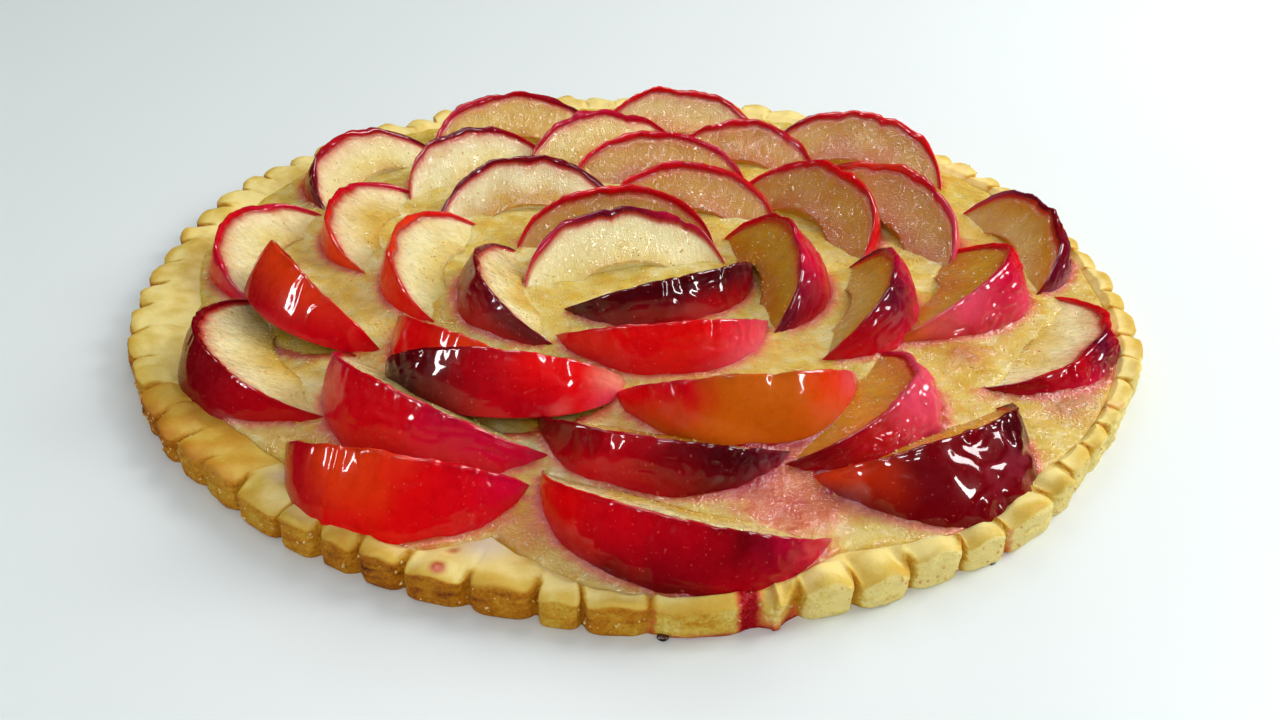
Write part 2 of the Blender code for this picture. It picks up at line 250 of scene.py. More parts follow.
def crust_surface():
    """The grid of the crust's border: points in mm, how brown it is with painted light and shade mixed in,
    and where it was cut.
    """
    (cut, turn, lobe_width, half, swell, crown, layered, brown, domed, reach, skew, slant,
     lobe) = crust_columns().T[:, :, None]
    bearing = cut + turn
    nearest = np.minimum(turn, lobe_width - turn)
    from_corner = np.clip((nearest - half) / (lobe_width / 2 - half), 0, 1)
    roundness = 1 - (1 - np.clip(from_corner / 0.45, 0, 1)) ** 2.4
    dome = 1 - (1 - from_corner) ** 2
    inner = at_bearing(INNER_EDGE, cut)
    inner = inner + (at_bearing(INNER_EDGE, cut + lobe_width) - inner) * turn / lobe_width
    edge = TART_RADIUS + at_bearing(OUTLINE, cut) + swell
    width = edge - inner
    notch_depth = np.minimum(reach, width - THINNEST_WALL)
    lobe_inset = np.minimum(1, width / 11) * spread_rows(LOBE_INSETS) + 0.45 - 0.7 * roundness
    lobe_inset = lobe_inset + 0.4 * np.abs(skew) + skew * (turn / lobe_width - 0.5)
    evened = ease(spread_rows(LOBE_INSETS) / 8) * np.where(domed > 2, 0.25, 1)
    crown = crown + 0.5 + domed * (1.2 * dome - 0.8)
    lobe_rise = spread_rows(LOBE_RISES) * (crown + (RIM_HEIGHT - crown) * evened)
    taper = np.linspace(1, 0.7, lobe_inset.shape[1])
    floor_share = np.where(half == SPLIT_HALF_WIDTH, SPLIT_FLOOR_SHARE, 0)
    openness = ease((nearest / (half * taper) - floor_share) / (1 - floor_share)) ** 0.75
    inset = notch_depth * spread_rows(CUT_INSETS) * (1 - openness) + lobe_inset * openness
    rise = RIM_HEIGHT * spread_rows(CUT_RISES) * (1 - openness) + lobe_rise * openness
    inward = np.linspace(0, 1, INNER_ROWS + 1)[1:]
    last = inset[:, -1:]
    inset = np.hstack((inset, last + (np.maximum(width, last + 0.5) - last) * inward))
    rise = np.hstack((rise, rise[:, -1:] + (RIM_EDGE_HEIGHT - rise[:, -1:]) * inward))
    radius = smooth_rows(edge - inset)
    rise = smooth_rows(rise)

    turned = np.radians(bearing) + slant * ease((edge - radius) / 6) * (edge - radius) / TART_RADIUS
    fade = ease((edge - radius - SLANT_REACH) / 6)
    turned = turned + (np.radians(bearing) - turned) * fade
    shape = radius.shape
    places = np.stack((radius * np.cos(turned), radius * np.sin(turned), rise), -1).reshape(-1, 3)
    along_layers = np.stack((turned * TART_RADIUS / 5, rise / 1.1, lobe * 3.1 + rise * 0), -1)
    rough = waves(along_layers.reshape(-1, 3), 1).reshape(shape)
    grit = waves(places, 1.3, 1).reshape(shape)
    lumps = waves(places, 4.2, 2).reshape(shape)
    swells = waves(places, 13, 3).reshape(shape)
    outer_face = ease((23.5 - np.arange(shape[1])) / 4) * np.ones(shape)
    seam_height = (0.5 + 0.12 * swells) * RIM_HEIGHT
    seam = np.exp(-((rise - seam_height) / 0.42) ** 2) * layered * ease(0.5 + 1.6 * lumps)
    off_ground = ease(rise / 0.8)
    from_edge = edge - radius
    bulge = ROUGHNESS * rough + GRIT * grit + LUMP_DEPTH * lumps - SEAM_DEPTH * seam
    radius = radius + outer_face * off_ground * bulge
    rise = rise + off_ground * (1 - outer_face) * (TOP_SWELL * swells + TOP_LUMP * lumps + 0.05 * grit)

    face_brown_and_light, top_brown_and_light = border_browning_and_light(cut, rough, lumps, swells, seam, brown, from_edge)
    in_cut = (1 - ease(nearest / (half * 0.95))) * ease((reach + 0.5 - from_edge) / 3)
    # How brown each point is, mixed with the painted light on the right and the painted shade on the left.
    bake = face_brown_and_light * outer_face + top_brown_and_light * (1 - outer_face)
    bake = bake + (0.58 - bake) * in_cut + 0.12 * ease(1 - rise)

    cut_face = np.maximum(outer_face, in_cut)
    under = radius[:, :1] - 8
    radius = np.hstack((under, radius, inner))
    rise = np.hstack((under * 0, rise, under * 0 + BASE_THICKNESS))
    rise[:, 1] = 0
    bake = np.hstack((bake[:, :1], bake, bake[:, -1:]))
    cut_face = np.hstack((cut_face[:, :1], cut_face, cut_face[:, -1:]))
    turned = np.hstack((turned[:, :1], turned, np.radians(bearing)))
    return np.stack((radius * np.cos(turned), radius * np.sin(turned), rise), -1), bake, cut_face


def mark(places, bearing, distance, size):
    """A soft round mark of the given size, 1 in its middle."""
    middle = np.array((distance * cos(radians(bearing)), distance * sin(radians(bearing))))
    return ease(1 - np.hypot(*(places[:, :2] - middle).T) / size)


def strongest_mark(places, marks):
    """The strongest of several marks at each place."""
    return np.max([mark_row[3] * mark(places, *mark_row[:3]) for mark_row in marks], 0)


def foot_stain(places, start, end, fade, climb, strength):
    """Juice that a lobe's foot drew up between two bearings, fading at both ends and upwards."""
    bearing = np.degrees(np.arctan2(places[:, 1], places[:, 0]))
    between = ease((bearing - start) / fade) * ease((end - bearing) / fade)
    return strength * between * np.exp(-places[:, 2] / climb)


# Marks on the crust: bearing, distance and size in mm, and strength. Juice ran out through the split
# and two other cuts, flour stayed on two lobes, and one lobe has brown blisters
JUICE_RUNS = (
    (-80, 150.0, 4.2, 1.9), (-80, 147.5, 4.4, 1.9), (-80, 144.5, 5.0, 1.6), (-85, 142, 5, 1.0),
    (-77, 141, 5, 1.0), (-54.5, 151, 2.4, 0.9), (-88, 150.5, 1.8, 0.9), (-30, 145, 9, 0.3),
)
FLOURED = ((-103.5, 135, 9, 0.9), (-127, 137, 6, 0.5))
BLISTERS = ((-106.2, 146, 2.8, 1.6), (-106, 139, 2.4, 0.8))

# Juice under the lobes beside the split: bearings of its ends, and in how many degrees it fades there,
# how many mm it climbs, and strength
LOW_LOBE_STAIN = (-88, -80, 2, 0.7, 1.3)
NEXT_LOBE_STAIN = (-80.5, -75, 1, 2.2, 1.2)

crust_grid, crust_bake_and_light, crust_cut = crust_surface()
crust_points = crust_grid.reshape(-1, 3)
crust = new_piece("crust_baked", crust_points, closed_ring(*crust_grid.shape[:2]))
add_values(crust, "bake", crust_bake_and_light)
add_values(crust, "cut", crust_cut)
add_values(crust, "crumbly", crust_cut.ravel() * ease(crust_points[:, 2] - 0.6))
foot_juice = np.maximum(foot_stain(crust_points, *LOW_LOBE_STAIN), foot_stain(crust_points, *NEXT_LOBE_STAIN))
add_values(crust, "juice", np.maximum(strongest_mark(crust_points, JUICE_RUNS), foot_juice))
add_values(crust, "flour", strongest_mark(crust_points, FLOURED))
add_values(crust, "blister", strongest_mark(crust_points, BLISTERS))


def add_node(tree, kind, inputs=None, **settings):
    """Adds a node with its settings, and sets or links the inputs that are given."""
    node = tree.nodes.new(kind)
    for name, value in settings.items():
        setattr(node, name, value)
    for name, value in (inputs or {}).items():
        if isinstance(value, bpy.types.NodeSocket):
            tree.links.new(value, node.inputs[name])
        else:
            node.inputs[name].default_value = value
    return node


def calc(tree, operation, *values):
    return add_node(tree, 'ShaderNodeMath', dict(enumerate(values)), operation=operation).outputs[0]


def blend_colours(tree, share, first, second, blend='MIX'):
    """Mixes two colours, each a socket or a linear value."""
    full = [value if isinstance(value, bpy.types.NodeSocket) else (*value, 1) for value in (first, second)]
    node = add_node(tree, 'ShaderNodeMix', {0: share, 6: full[0], 7: full[1]}, data_type='RGBA')
    node.blend_type = blend
    return node.outputs[2]


def colour_ramp(tree, share, *stops):
    """A ramp through (position, linear colour) stops."""
    ramp = add_node(tree, 'ShaderNodeValToRGB', {0: share}).color_ramp
    while len(ramp.elements) < len(stops):
        ramp.elements.new(1)
    for element, (position, colour) in zip(ramp.elements, stops):
        element.position = position
        element.color = (*colour, 1)
    return tree.nodes[-1].outputs[0]


def read_value(tree, name):
    return add_node(tree, 'ShaderNodeAttribute', attribute_name=name).outputs["Fac"]


def read_colour(tree, name):
    return add_node(tree, 'ShaderNodeAttribute', attribute_name=name).outputs["Color"]


def object_places(tree):
    return add_node(tree, 'ShaderNodeTexCoord').outputs["Object"]


def noise_value(tree, places, size, detail=2.0, roughness=0.55):
    """Noise from 0 to 1 with bumps of the given size in mm."""
    inputs = {"Vector": places, "Scale": 1 / (size * MM), "Detail": detail, "Roughness": roughness}
    return add_node(tree, 'ShaderNodeTexNoise', inputs).outputs[0]


def new_finish(name, **sockets):
    """A Principled material with these values on its own sockets."""
    material = bpy.data.materials.new(name)
    material.use_nodes = True
    surface = material.node_tree.nodes["Principled BSDF"]
    for socket, value in sockets.items():
        surface.inputs[socket.replace("_", " ")].default_value = value
    return material, material.node_tree, surface


def new_group(name, inputs, outputs):
    """A shader node group with float or colour sockets."""
    group = bpy.data.node_groups.new(name, 'ShaderNodeTree')
    for socket, kind in inputs.items():
        group.interface.new_socket(socket, in_out='INPUT', socket_type=kind)
    for socket, kind in outputs.items():
        group.interface.new_socket(socket, in_out='OUTPUT', socket_type=kind)
    return group, group.nodes.new('NodeGroupInput').outputs, group.nodes.new('NodeGroupOutput').inputs


def use_group(tree, group, inputs):
    node = tree.nodes.new('ShaderNodeGroup')
    node.node_tree = group
    for name, value in inputs.items():
        if isinstance(value, bpy.types.NodeSocket):
            tree.links.new(value, node.inputs[name])
        else:
            node.inputs[name].default_value = value
    return node.outputs


# Grain of baked dough and of almond cream: crumbs of two sizes, and pale spots that are partly painted
# sparkle
FLOAT = 'NodeSocketFloat'
grain_group, grain_in, grain_out = new_group(
    "baked grain", {"Coarse": FLOAT, "Fine": FLOAT}, {"Height": FLOAT, "Specks": FLOAT})
grain_place = object_places(grain_group)
coarse = add_node(grain_group, 'ShaderNodeTexNoise', {
    "Vector": grain_place, "Scale": grain_in["Coarse"], "Detail": 3.0, "Roughness": 0.6}).outputs[0]
fine = add_node(grain_group, 'ShaderNodeTexVoronoi', {
    "Vector": grain_place, "Scale": grain_in["Fine"]}, feature='SMOOTH_F1').outputs[0]
grain_height = calc(grain_group, 'SUBTRACT', coarse, calc(grain_group, 'MULTIPLY', fine, 0.45))
grain_group.links.new(grain_height, grain_out["Height"])
# Pale spots on the grain: partly pale crumbs, partly painted sparkle highlights.
speck_sparkle = add_node(grain_group, 'ShaderNodeMapRange', {
    "Value": coarse, "From Min": 0.62, "From Max": 0.72}).outputs[0]
grain_group.links.new(speck_sparkle, grain_out["Specks"])

# Peach juice soaked into dough or cream: pink at its edge, deep red in the middle
stain_group, stain_in, stain_out = new_group(
    "juice stain", {"Base": 'NodeSocketColor', "Juice": FLOAT}, {"Colour": 'NodeSocketColor', "Wet": FLOAT})
unevenness = noise_value(stain_group, object_places(stain_group), 3.0, 3.0)
unevenness = calc(stain_group, 'SUBTRACT', unevenness, 0.5)
ragged = calc(stain_group, 'ADD', stain_in["Juice"], calc(stain_group, 'MULTIPLY', unevenness, 0.7))
pink = add_node(stain_group, 'ShaderNodeMapRange', {
    "Value": ragged, "From Min": 0.12, "From Max": 0.6}).outputs[0]
red = add_node(stain_group, 'ShaderNodeMapRange', {
    "Value": ragged, "From Min": 0.55, "From Max": 1.15}).outputs[0]
pink_share = calc(stain_group, 'MULTIPLY', pink, 0.75)
stained = blend_colours(stain_group, pink_share, stain_in["Base"], tone(220, 82, 58))
stained = blend_colours(stain_group, red, stained, tone(172, 4, 20))
stain_group.links.new(stained, stain_out["Colour"])
stain_group.links.new(pink, stain_out["Wet"])

crust_finish, tree, surface = new_finish(
    "baked shortcrust", Roughness=0.6, Subsurface_Weight=0.2, Subsurface_Scale=2 * MM, Specular_IOR_Level=0.1)
surface.inputs["Subsurface Radius"].default_value = (1.0, 0.6, 0.3)
places = object_places(tree)
grain = use_group(tree, grain_group, {"Coarse": 1 / (0.9 * MM), "Fine": 1 / (0.5 * MM)})
mottle = calc(tree, 'SUBTRACT', noise_value(tree, places, 5.0, 4.0), 0.5)
speckle = calc(tree, 'SUBTRACT', noise_value(tree, places, 0.9, 3.0), 0.5)
# The browning read from the crust also carries the painted light on the right and the painted shade on the
# left.
browning_and_light = calc(tree, 'ADD', read_value(tree, "bake"), calc(tree, 'MULTIPLY', mottle, 0.35))
cut_face = read_value(tree, "cut")
speckle = calc(tree, 'MULTIPLY', speckle, calc(tree, 'ADD', calc(tree, 'MULTIPLY', cut_face, 0.45), 0.12))
browning_and_light = calc(tree, 'ADD', browning_and_light, speckle)
pastry = colour_ramp(
    tree, browning_and_light, (0.0, tone(244, 222, 140)), (0.2, tone(222, 188, 80)), (0.42, tone(208, 154, 40)),
    (0.62, tone(190, 118, 12)), (0.82, tone(152, 80, 4)), (1.0, tone(84, 32, 6)))
flour_share = calc(tree, 'MULTIPLY', read_value(tree, "flour"), 0.8)
pastry = blend_colours(tree, flour_share, pastry, tone(226, 218, 204))
blister_share = calc(tree, 'MINIMUM', read_value(tree, "blister"), 1.0)
pastry = blend_colours(tree, blister_share, pastry, tone(190, 82, 0))
stain = use_group(tree, stain_group, {"Base": pastry, "Juice": read_value(tree, "juice")})
tree.links.new(stain["Colour"], surface.inputs["Base Color"])
dullness = calc(tree, 'ADD', 0.5, calc(tree, 'MULTIPLY', cut_face, 0.2))
dullness = calc(tree, 'SUBTRACT', dullness, calc(tree, 'MULTIPLY', stain["Wet"], 0.35))
dullness = calc(tree, 'SUBTRACT', dullness, calc(tree, 'MULTIPLY', read_value(tree, "blister"), 0.2))
tree.links.new(dullness, surface.inputs["Roughness"])
grain_share = calc(tree, 'ADD', calc(tree, 'MULTIPLY', cut_face, 0.85), 0.15)
roughened = calc(tree, 'MULTIPLY', grain["Height"], grain_share)
relief = add_node(tree, 'ShaderNodeBump', {"Height": roughened, "Strength": 0.9, "Distance": 0.7 * MM})
tree.links.new(relief.outputs[0], surface.inputs["Normal"])
crust.data.materials.append(crust_finish)
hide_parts("crust")
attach(crust, "root")

# Peach slices
# Unpeeled white peaches, stoned and cut into wedges about 65 mm long, laid skin outwards in rings
# and pressed into the cream. Baking shrank the flesh, wrinkled the skins and drew out pink juice.
GAP = 0.3
SLICE_REST_HEIGHT = 4.8
SLICE_REST_SPREAD = 0.8
SLICE_SEED = 3
FULLNESS = 2.2
STONE_LENGTH = 0.5
STONE_DEPTH = 0.34
SKIN_WAVE = 0.7
WAVE_SIZE = 14
STATIONS = 112
FLESH_STEPS = 34
SKIN_STEPS = 44
LOWER_STEPS = 8
STONE_STEPS = 5
RIM_WIDTH = 1.3

# The skin's rim along the cut edge, from the flesh outwards: place as a share of its width from the
# edge, and how far it stands up as a share of its rise
RIM_PROFILE = np.array(((-0.95, 0.4), (-0.6, 0.9), (-0.1, 1), (0.3, 0.6)))

# Unevenness along a cut edge: depth and size in mm
PLEATS = (0.3, 3.2)
BULGES = (1.2, 7.5)
SWAYS = (0.7, 15)

# Unevenness of the cut flesh: size in mm of its soft hollows and of its fibres, and the fibres' stretch
HOLLOW_SIZE = 11
FIBRE_SIZE = 5
FIBRE_STRETCH = (6, 1, 1)
DISH_DEPTH = 0.9

# Size in mm of the clouds and streaks in a skin's colour
CLOUD_SIZE = 9
STREAK_SIZE = 3.2

# How wide a crease is, and the dips beside it, in mm
CREASE_WIDTH = 0.75
CREASE_SPREAD = 2.2

# Where folds aren't given: their depth and size in mm. Depth and size of the pleats by the cut edge
USUAL_FOLDS = (1.0, 5.0)
EDGE_PLEATS = (0.5, 2.6)

# Slices from the middle outwards. Each is: distance of its stone edge from the tart's centre in mm,
# bearing of that point, bearing that its skin faces, length in mm, depth from stone edge to skin in
# mm, and lean of its upper cut face in degrees
SLICES = {
    "centre": (
        (11, -100, 108, 66, 26, 44),
        (13, -67, -63, 64, 27, 37),
    ),
    "first": (
        (36, -78, -81, 63, 29, 35),
        (34, -143, -164, 59, 26, 36),
        (9, 139, 93, 65, 26, 47),
        (34, 60, 88, 60, 27, 36),
        (34, -19, 11, 61, 26, 52),
    ),
    "second": (
        (70, -67, -81, 66, 31, 40),
        (71, -119, -94, 66, 31, 47),
        (64, -126, -120, 62, 29, 43),
        (52, -171, 177, 65, 28, 33),
        (46, 142, 101, 63, 28, 36),
        (55, 83, 90, 65, 28, 35),
        (58, 28, 36, 63, 29, 44),
        (63, -24, -15, 57, 27, 47),
    ),
    "third": (
        (85, -84, -102, 66, 30, 33),
        (89, -121, -127, 71, 33, 40),
        (92, -161, -143, 58, 28, 58),
        (79, 167, 176, 61, 27, 31),
        (77, 134, 123, 59, 27, 38),
        (70, 98, 113, 63, 29, 40),
        (82, 63, 80, 56, 26, 36),
        (78, 17, 45, 66, 30, 46),
        (84, -10, -26, 62, 33, 33),
        (88, -56, -31, 62, 28, 33),
    ),
    "outer": (
        (113, -83, -109, 71, 33, 34),
        (116, -117, -101, 61, 28, 46),
        (105, -148, -151, 66, 32, 28),
        (105, -179, 175, 61, 28, 30),
        (105, 148, 150, 60, 27, 37),
        (97, 118, 107, 67, 30, 38),
        (95, 82, 80, 67, 30, 37),
        (105, 43, 66, 69, 31, 39),
        (117, 7, 10, 58, 25, 43),
        (112, -19, -36, 65, 30, 20),
        (111, -52, -60, 61, 28, 39),
    ),
}

# Slices that lie on others: how far their lower cut face is raised, in degrees
RAISED = {"first_1": 7, "second_2": 16, "third_3": 22}

# Slices that sagged as they baked: how far their skin's foot spreads, in mm
SAGGED = {
    "first_2": 2, "first_5": 2, "third_9": 3, "third_10": 5,
    "outer_3": 4, "outer_5": 5, "outer_9": 2, "outer_10": 4, "outer_11": 8,
}

# Slices of a lopsided peach: how far their fullest point lies off the middle, as a share of the half
LOPSIDED = {"third_9": -0.3, "outer_9": -0.15}

# Tones of the baked skins and of the flesh
TONES = {
    "wine": tone(70, 0, 10), "maroon": tone(122, 0, 12), "purple": tone(98, 4, 34),
    "crimson": tone(192, 0, 20), "ruby": tone(222, 0, 20), "scarlet": tone(240, 4, 8),
    "flame": tone(242, 60, 10), "rust": tone(216, 100, 8), "magenta": tone(212, 8, 58),
    "rose": tone(238, 76, 104), "violet": tone(150, 64, 92),
    # The blister tone is the pale pink of blistered skin, partly a painted highlight where it catches the
    # light.
    "blister": tone(252, 150, 128),
    "ivory": tone(248, 240, 186), "cream": tone(236, 216, 130), "straw": tone(222, 188, 74),
    "tan": tone(208, 158, 26), "olive": tone(204, 174, 92), "amber": tone(194, 110, 2),
    "peachy": tone(224, 150, 52), "blush": tone(216, 54, 44),
}

# How each slice looks: tones of the skin from its left end to its right, seen from outside, along the
# cut edge and along the foot; tones of the flesh by the stone and by the skin; how far the blush
# reaches in mm; and how shrunken the skin is at its left and at its right end, from 0 to 1
LOOKS = {
    "centre_1": ("magenta purple magenta", "maroon", "cream ivory", 2, 0.3, 0.3),
    "centre_2": ("wine wine wine purple", "maroon crimson crimson", "cream ivory", 2, 0.3, 0.6),
    "first_1": ("ruby scarlet scarlet rose", "crimson ruby rose", "cream ivory", 2, 0.15, 0.5),
    "first_2": ("purple maroon purple", "maroon crimson", "straw ivory", 4, 0.3, 0.4),
    "first_3": ("crimson scarlet ruby", "maroon", "amber tan", 4, 0.3, 0.3),
    "first_4": ("scarlet ruby scarlet", "crimson", "amber tan", 4, 0.3, 0.3),
    "first_5": ("purple magenta crimson ruby", "crimson magenta", "amber tan", 4, 0.6, 0.6),
    "second_1": ("scarlet ruby rust rust flame rose", "crimson rust rust rust scarlet",
                 "straw tan", 2, 0.1, 0.3),
    # Its right end is in the blister tone, partly a painted highlight.
    "second_2": ("wine wine maroon crimson scarlet scarlet blister",
                 "wine wine maroon crimson crimson ruby rose", "straw cream", 2, 0.5, 0.25),
    "second_3": ("crimson scarlet flame scarlet", "ruby scarlet ruby", "cream ivory", 4, 0.1, 0.2),
    "second_4": ("scarlet flame ruby", "crimson ruby scarlet", "cream ivory", 3, 0.1, 0.2),
    "second_5": ("purple maroon purple", "maroon", "tan ivory", 4, 0.4, 0.4),
    "second_6": ("magenta ruby scarlet", "crimson", "amber tan", 4, 0.3, 0.3),
    "second_7": ("ruby scarlet ruby", "crimson magenta rose", "amber tan", 5, 0.3, 0.5),
    "second_8": ("crimson purple magenta purple", "ruby magenta ruby", "olive tan", 4, 0.6, 0.8),
    "third_1": ("maroon maroon crimson maroon wine purple", "crimson ruby crimson maroon crimson",
                "tan cream", 2, 0.2, 0.6),
    "third_2": ("maroon magenta ruby ruby magenta magenta", "magenta ruby ruby ruby",
                "straw ivory", 2, 0.2, 0.5),
    "third_3": ("crimson flame flame ruby", "maroon crimson ruby", "cream peachy", 2, 0.1, 0.2),
    "third_4": ("magenta ruby flame", "crimson flame crimson", "straw ivory", 5, 0.2, 0.2),
    "third_5": ("crimson purple crimson", "crimson", "cream ivory", 5, 0.3, 0.3),
    "third_6": ("crimson magenta crimson", "crimson", "tan cream", 4, 0.3, 0.3),
    "third_7": ("crimson ruby crimson", "crimson", "amber tan", 5, 0.3, 0.3),
    "third_8": ("rose ruby flame purple", "ruby crimson", "amber tan", 4, 0.5, 0.4),
    "third_9": ("rust rose magenta ruby scarlet", "crimson crimson rose magenta",
                "amber tan", 4, 0.7, 0.8),
    "third_10": ("maroon crimson rose rose magenta", "crimson crimson rose rose",
                 "tan peachy", 5, 0.5, 1.0),
    "outer_1": ("flame scarlet ruby crimson maroon magenta", "scarlet crimson maroon maroon crimson magenta",
                "straw ivory", 3, 0.1, 0.5),
    "outer_2": ("maroon crimson flame flame scarlet ruby magenta",
                "crimson crimson scarlet scarlet ruby ruby", "straw cream", 1.5, 0.1, 0.4),
    "outer_3": ("maroon maroon crimson", "wine maroon crimson", "straw ivory", 4, 0.2, 0.2),
    "outer_4": ("magenta ruby magenta", "crimson ruby", "cream ivory", 4, 0.2, 0.2),
    "outer_5": ("purple crimson purple", "maroon crimson", "cream ivory", 5, 0.4, 0.3),
    "outer_6": ("purple crimson magenta", "crimson", "tan straw", 4, 0.4, 0.3),
    "outer_7": ("flame ruby scarlet ruby", "crimson", "peachy cream", 6, 0.3, 0.3),
    "outer_8": ("scarlet scarlet ruby purple", "crimson", "amber tan", 4, 0.4, 0.4),
    "outer_9": ("purple maroon purple violet", "violet purple", "olive tan", 3, 0.6, 0.8),
    "outer_10": ("maroon crimson purple ruby scarlet", "crimson magenta purple magenta",
                 "straw ivory", 5, 0.5, 0.9),
    "outer_11": ("flame maroon maroon wine purple", "maroon", "tan peachy", 2, 0.3, 1.0),
}

# Sharp creases down a skin: place along it from its left end, height and length in mm
CREASES = {
    "outer_2": ((0.24, 0.7, 7), (0.34, 1.1, 16), (0.46, 0.9, 8), (0.55, 0.6, 5), (0.74, 0.9, 5),
                (0.80, 0.8, 6), (0.86, 0.9, 5), (0.92, 0.7, 4)),
    "outer_1": ((0.35, 0.5, 8), (0.47, 0.9, 8), (0.54, 1.0, 10), (0.60, 0.8, 7), (0.68, 0.9, 8),
                (0.76, 1.0, 12), (0.82, 0.9, 8), (0.88, 1.0, 12), (0.93, 0.9, 8)),
    "third_2": ((0.10, 0.8, 12), (0.16, 0.7, 10), (0.62, 0.7, 4), (0.70, 0.9, 5), (0.78, 0.8, 4),
                (0.85, 0.9, 5), (0.92, 0.8, 4)),
    "third_1": ((0.3, 0.9, 9), (0.62, 0.7, 5), (0.72, 0.9, 6), (0.84, 1.0, 10), (0.9, 1.0, 12)),
    "third_3": ((0.3, 0.6, 8), (0.75, 0.8, 6), (0.85, 0.8, 6)),
    "second_2": ((0.12, 1.0, 12), (0.2, 0.9, 10), (0.55, 0.4, 5), (0.9, 0.8, 6)),
    "second_1": ((0.16, 0.8, 6), (0.24, 0.9, 7), (0.86, 0.7, 8), (0.93, 0.9, 8)),
    "first_1": ((0.3, 0.5, 6), (0.78, 0.9, 8), (0.86, 0.9, 8), (0.93, 0.8, 6)),
    "outer_3": ((0.2, 0.7, 8), (0.3, 0.6, 8), (0.6, 0.5, 6)),
    "centre_2": ((0.35, 0.8, 6), (0.7, 1.0, 8), (0.8, 1.1, 9), (0.9, 0.9, 6)),
}

# Where a cut edge is torn: place along it from its left end, how far it drops there in mm, and
# whether it stays lower to the right of it
TEARS = {
    "third_1": ((0.35, 1.8, True),), "second_1": ((0.18, 1.4, False), (0.86, 1.0, True)),
    "centre_1": ((0.16, 0.9, False), (0.52, 0.7, False)), "first_1": ((0.66, 0.8, False),),
    "outer_3": ((0.3, 0.7, False),), "first_3": ((0.45, 0.8, True),), "outer_8": ((0.42, 0.8, False),),
    "second_7": ((0.7, 1.0, False),), "outer_1": ((0.93, 0.8, True),), "third_6": ((0.3, 0.7, False),),
}

# Depth and size in mm of the folds where a skin shrank much, or little
FOLDS = {
    "third_9": (1.2, 5.5), "third_10": (1.3, 4.0), "outer_9": (1.3, 5.5), "outer_10": (1.2, 3.6),
    "outer_11": (1.8, 8.5), "second_8": (1.2, 5.0), "third_1": (1.2, 6.5), "outer_1": (1.2, 4.5),
}


def slice_places():
    """Every slice's name, its row of sizes, its height above the table and its seed."""
    draw = random.Random(SLICE_SEED)
    found = []
    for ring, spots in SLICES.items():
        for number, spot in enumerate(spots, 1):
            height = SLICE_REST_HEIGHT + draw.uniform(0, SLICE_REST_SPREAD)
            found.append((f"{ring}_{number}", spot, height, len(found) + 1))
    return found


def skin_distance(along, depth, peak):
    """Distance of the skin from the stone edge, at a share along the slice from -1 to 1."""
    shifted = along - peak * (1 - along * along)
    return depth * np.sqrt(np.clip(1 - np.abs(shifted) ** FULLNESS, 0, 1))


def stone_distance(along, depth):
    """Distance of the stone's hollow from the stone edge."""
    return depth * STONE_DEPTH * np.sqrt(np.clip(1 - (along / STONE_LENGTH) ** 2, 0, 1))


def to_tart(points, spot, height):
    """Turns and moves points from the slice's own place to its place in the tart."""
    distance, bearing, facing, _, _, _ = spot
    turn = radians(facing - 90)
    x = points[..., 0] * cos(turn) - points[..., 1] * sin(turn) + distance * cos(radians(bearing))
    y = points[..., 0] * sin(turn) + points[..., 1] * cos(turn) + distance * sin(radians(bearing))
    return np.stack((x, y, points[..., 2] + height), -1)


def mix(first, second, share):
    """Mixes colours by a share at each point."""
    return first + (second - first) * np.clip(share, 0, 1)[..., None]


def tone_run(names, share):
    """Colours along a run of evenly spaced tones, at shares from 0 to 1."""
    stops = np.array([TONES[name] for name in names.split()] * (2 if " " not in names else 1))
    at = np.clip(share, 0, 1) * (len(stops) - 1)
    first = np.minimum(at.astype(int), len(stops) - 2)
    return mix(stops[first], stops[first + 1], ease(at - first))


def noise_along(x, size, seed):
    """Noise that changes along the slice only."""
    places = np.stack((x.ravel(), x.ravel() * 0, x.ravel() * 0), -1)
    return waves(places, size, seed + 0.1).reshape(x.shape)


def torn_edge(key, from_left, length):
    """How far the cut edge drops where it is torn."""
    torn = 0 * from_left
    for place, drop, stays in TEARS.get(key, ()):
        beyond = (from_left - place) * length
        if stays:
            torn = torn + drop * ease(beyond / 0.8 + 0.5) * ease((1 - from_left) * 3)
        else:
            torn = torn + drop * np.exp(-(beyond / 1.1) ** 2)
    return torn


def creased(key, from_left, length, turn_share, from_crest):
    """How far the creases stand out of a skin."""
    raised = 0 * from_crest
    for place, height, run in CREASES.get(key, ()):
        bend = place + 0.02 * np.sin(turn_share * 5 + place * 40)
        aside = (from_left - bend) * length
        line = np.exp(-(aside / CREASE_WIDTH) ** 2) - 0.5 * np.exp(-(aside / CREASE_SPREAD) ** 2)
        raised = raised + height * line * np.exp(-from_crest / run)
    return raised


def flesh_paint(tones, blush, flesh, stone, crest, from_rim, fibres, broad):
    """Colour of the cut flesh: one tone by the stone and one by the skin, blushed along the skin."""
    inner_tone, outer_tone = (TONES[name] for name in tones.split())
    reach = (flesh - stone) / np.maximum(crest - stone, 0.1)
    paint = mix(inner_tone[None, None], outer_tone[None, None], ease(reach * 1.3 + 0.35 * broad))
    streaky = 0.75 + 0.55 * fibres + 0.4 * broad
    paint = mix(paint, TONES["blush"], 0.85 * streaky * np.exp(-(from_rim / (0.65 * blush)) ** 1.2))
    paint = mix(paint, TONES["crimson"], 0.95 * np.exp(-(from_rim / 1.2) ** 1.4))
    return mix(paint, TONES["amber"], 0.35 * np.exp(-(flesh - stone) / 1.6) * (1 + fibres))


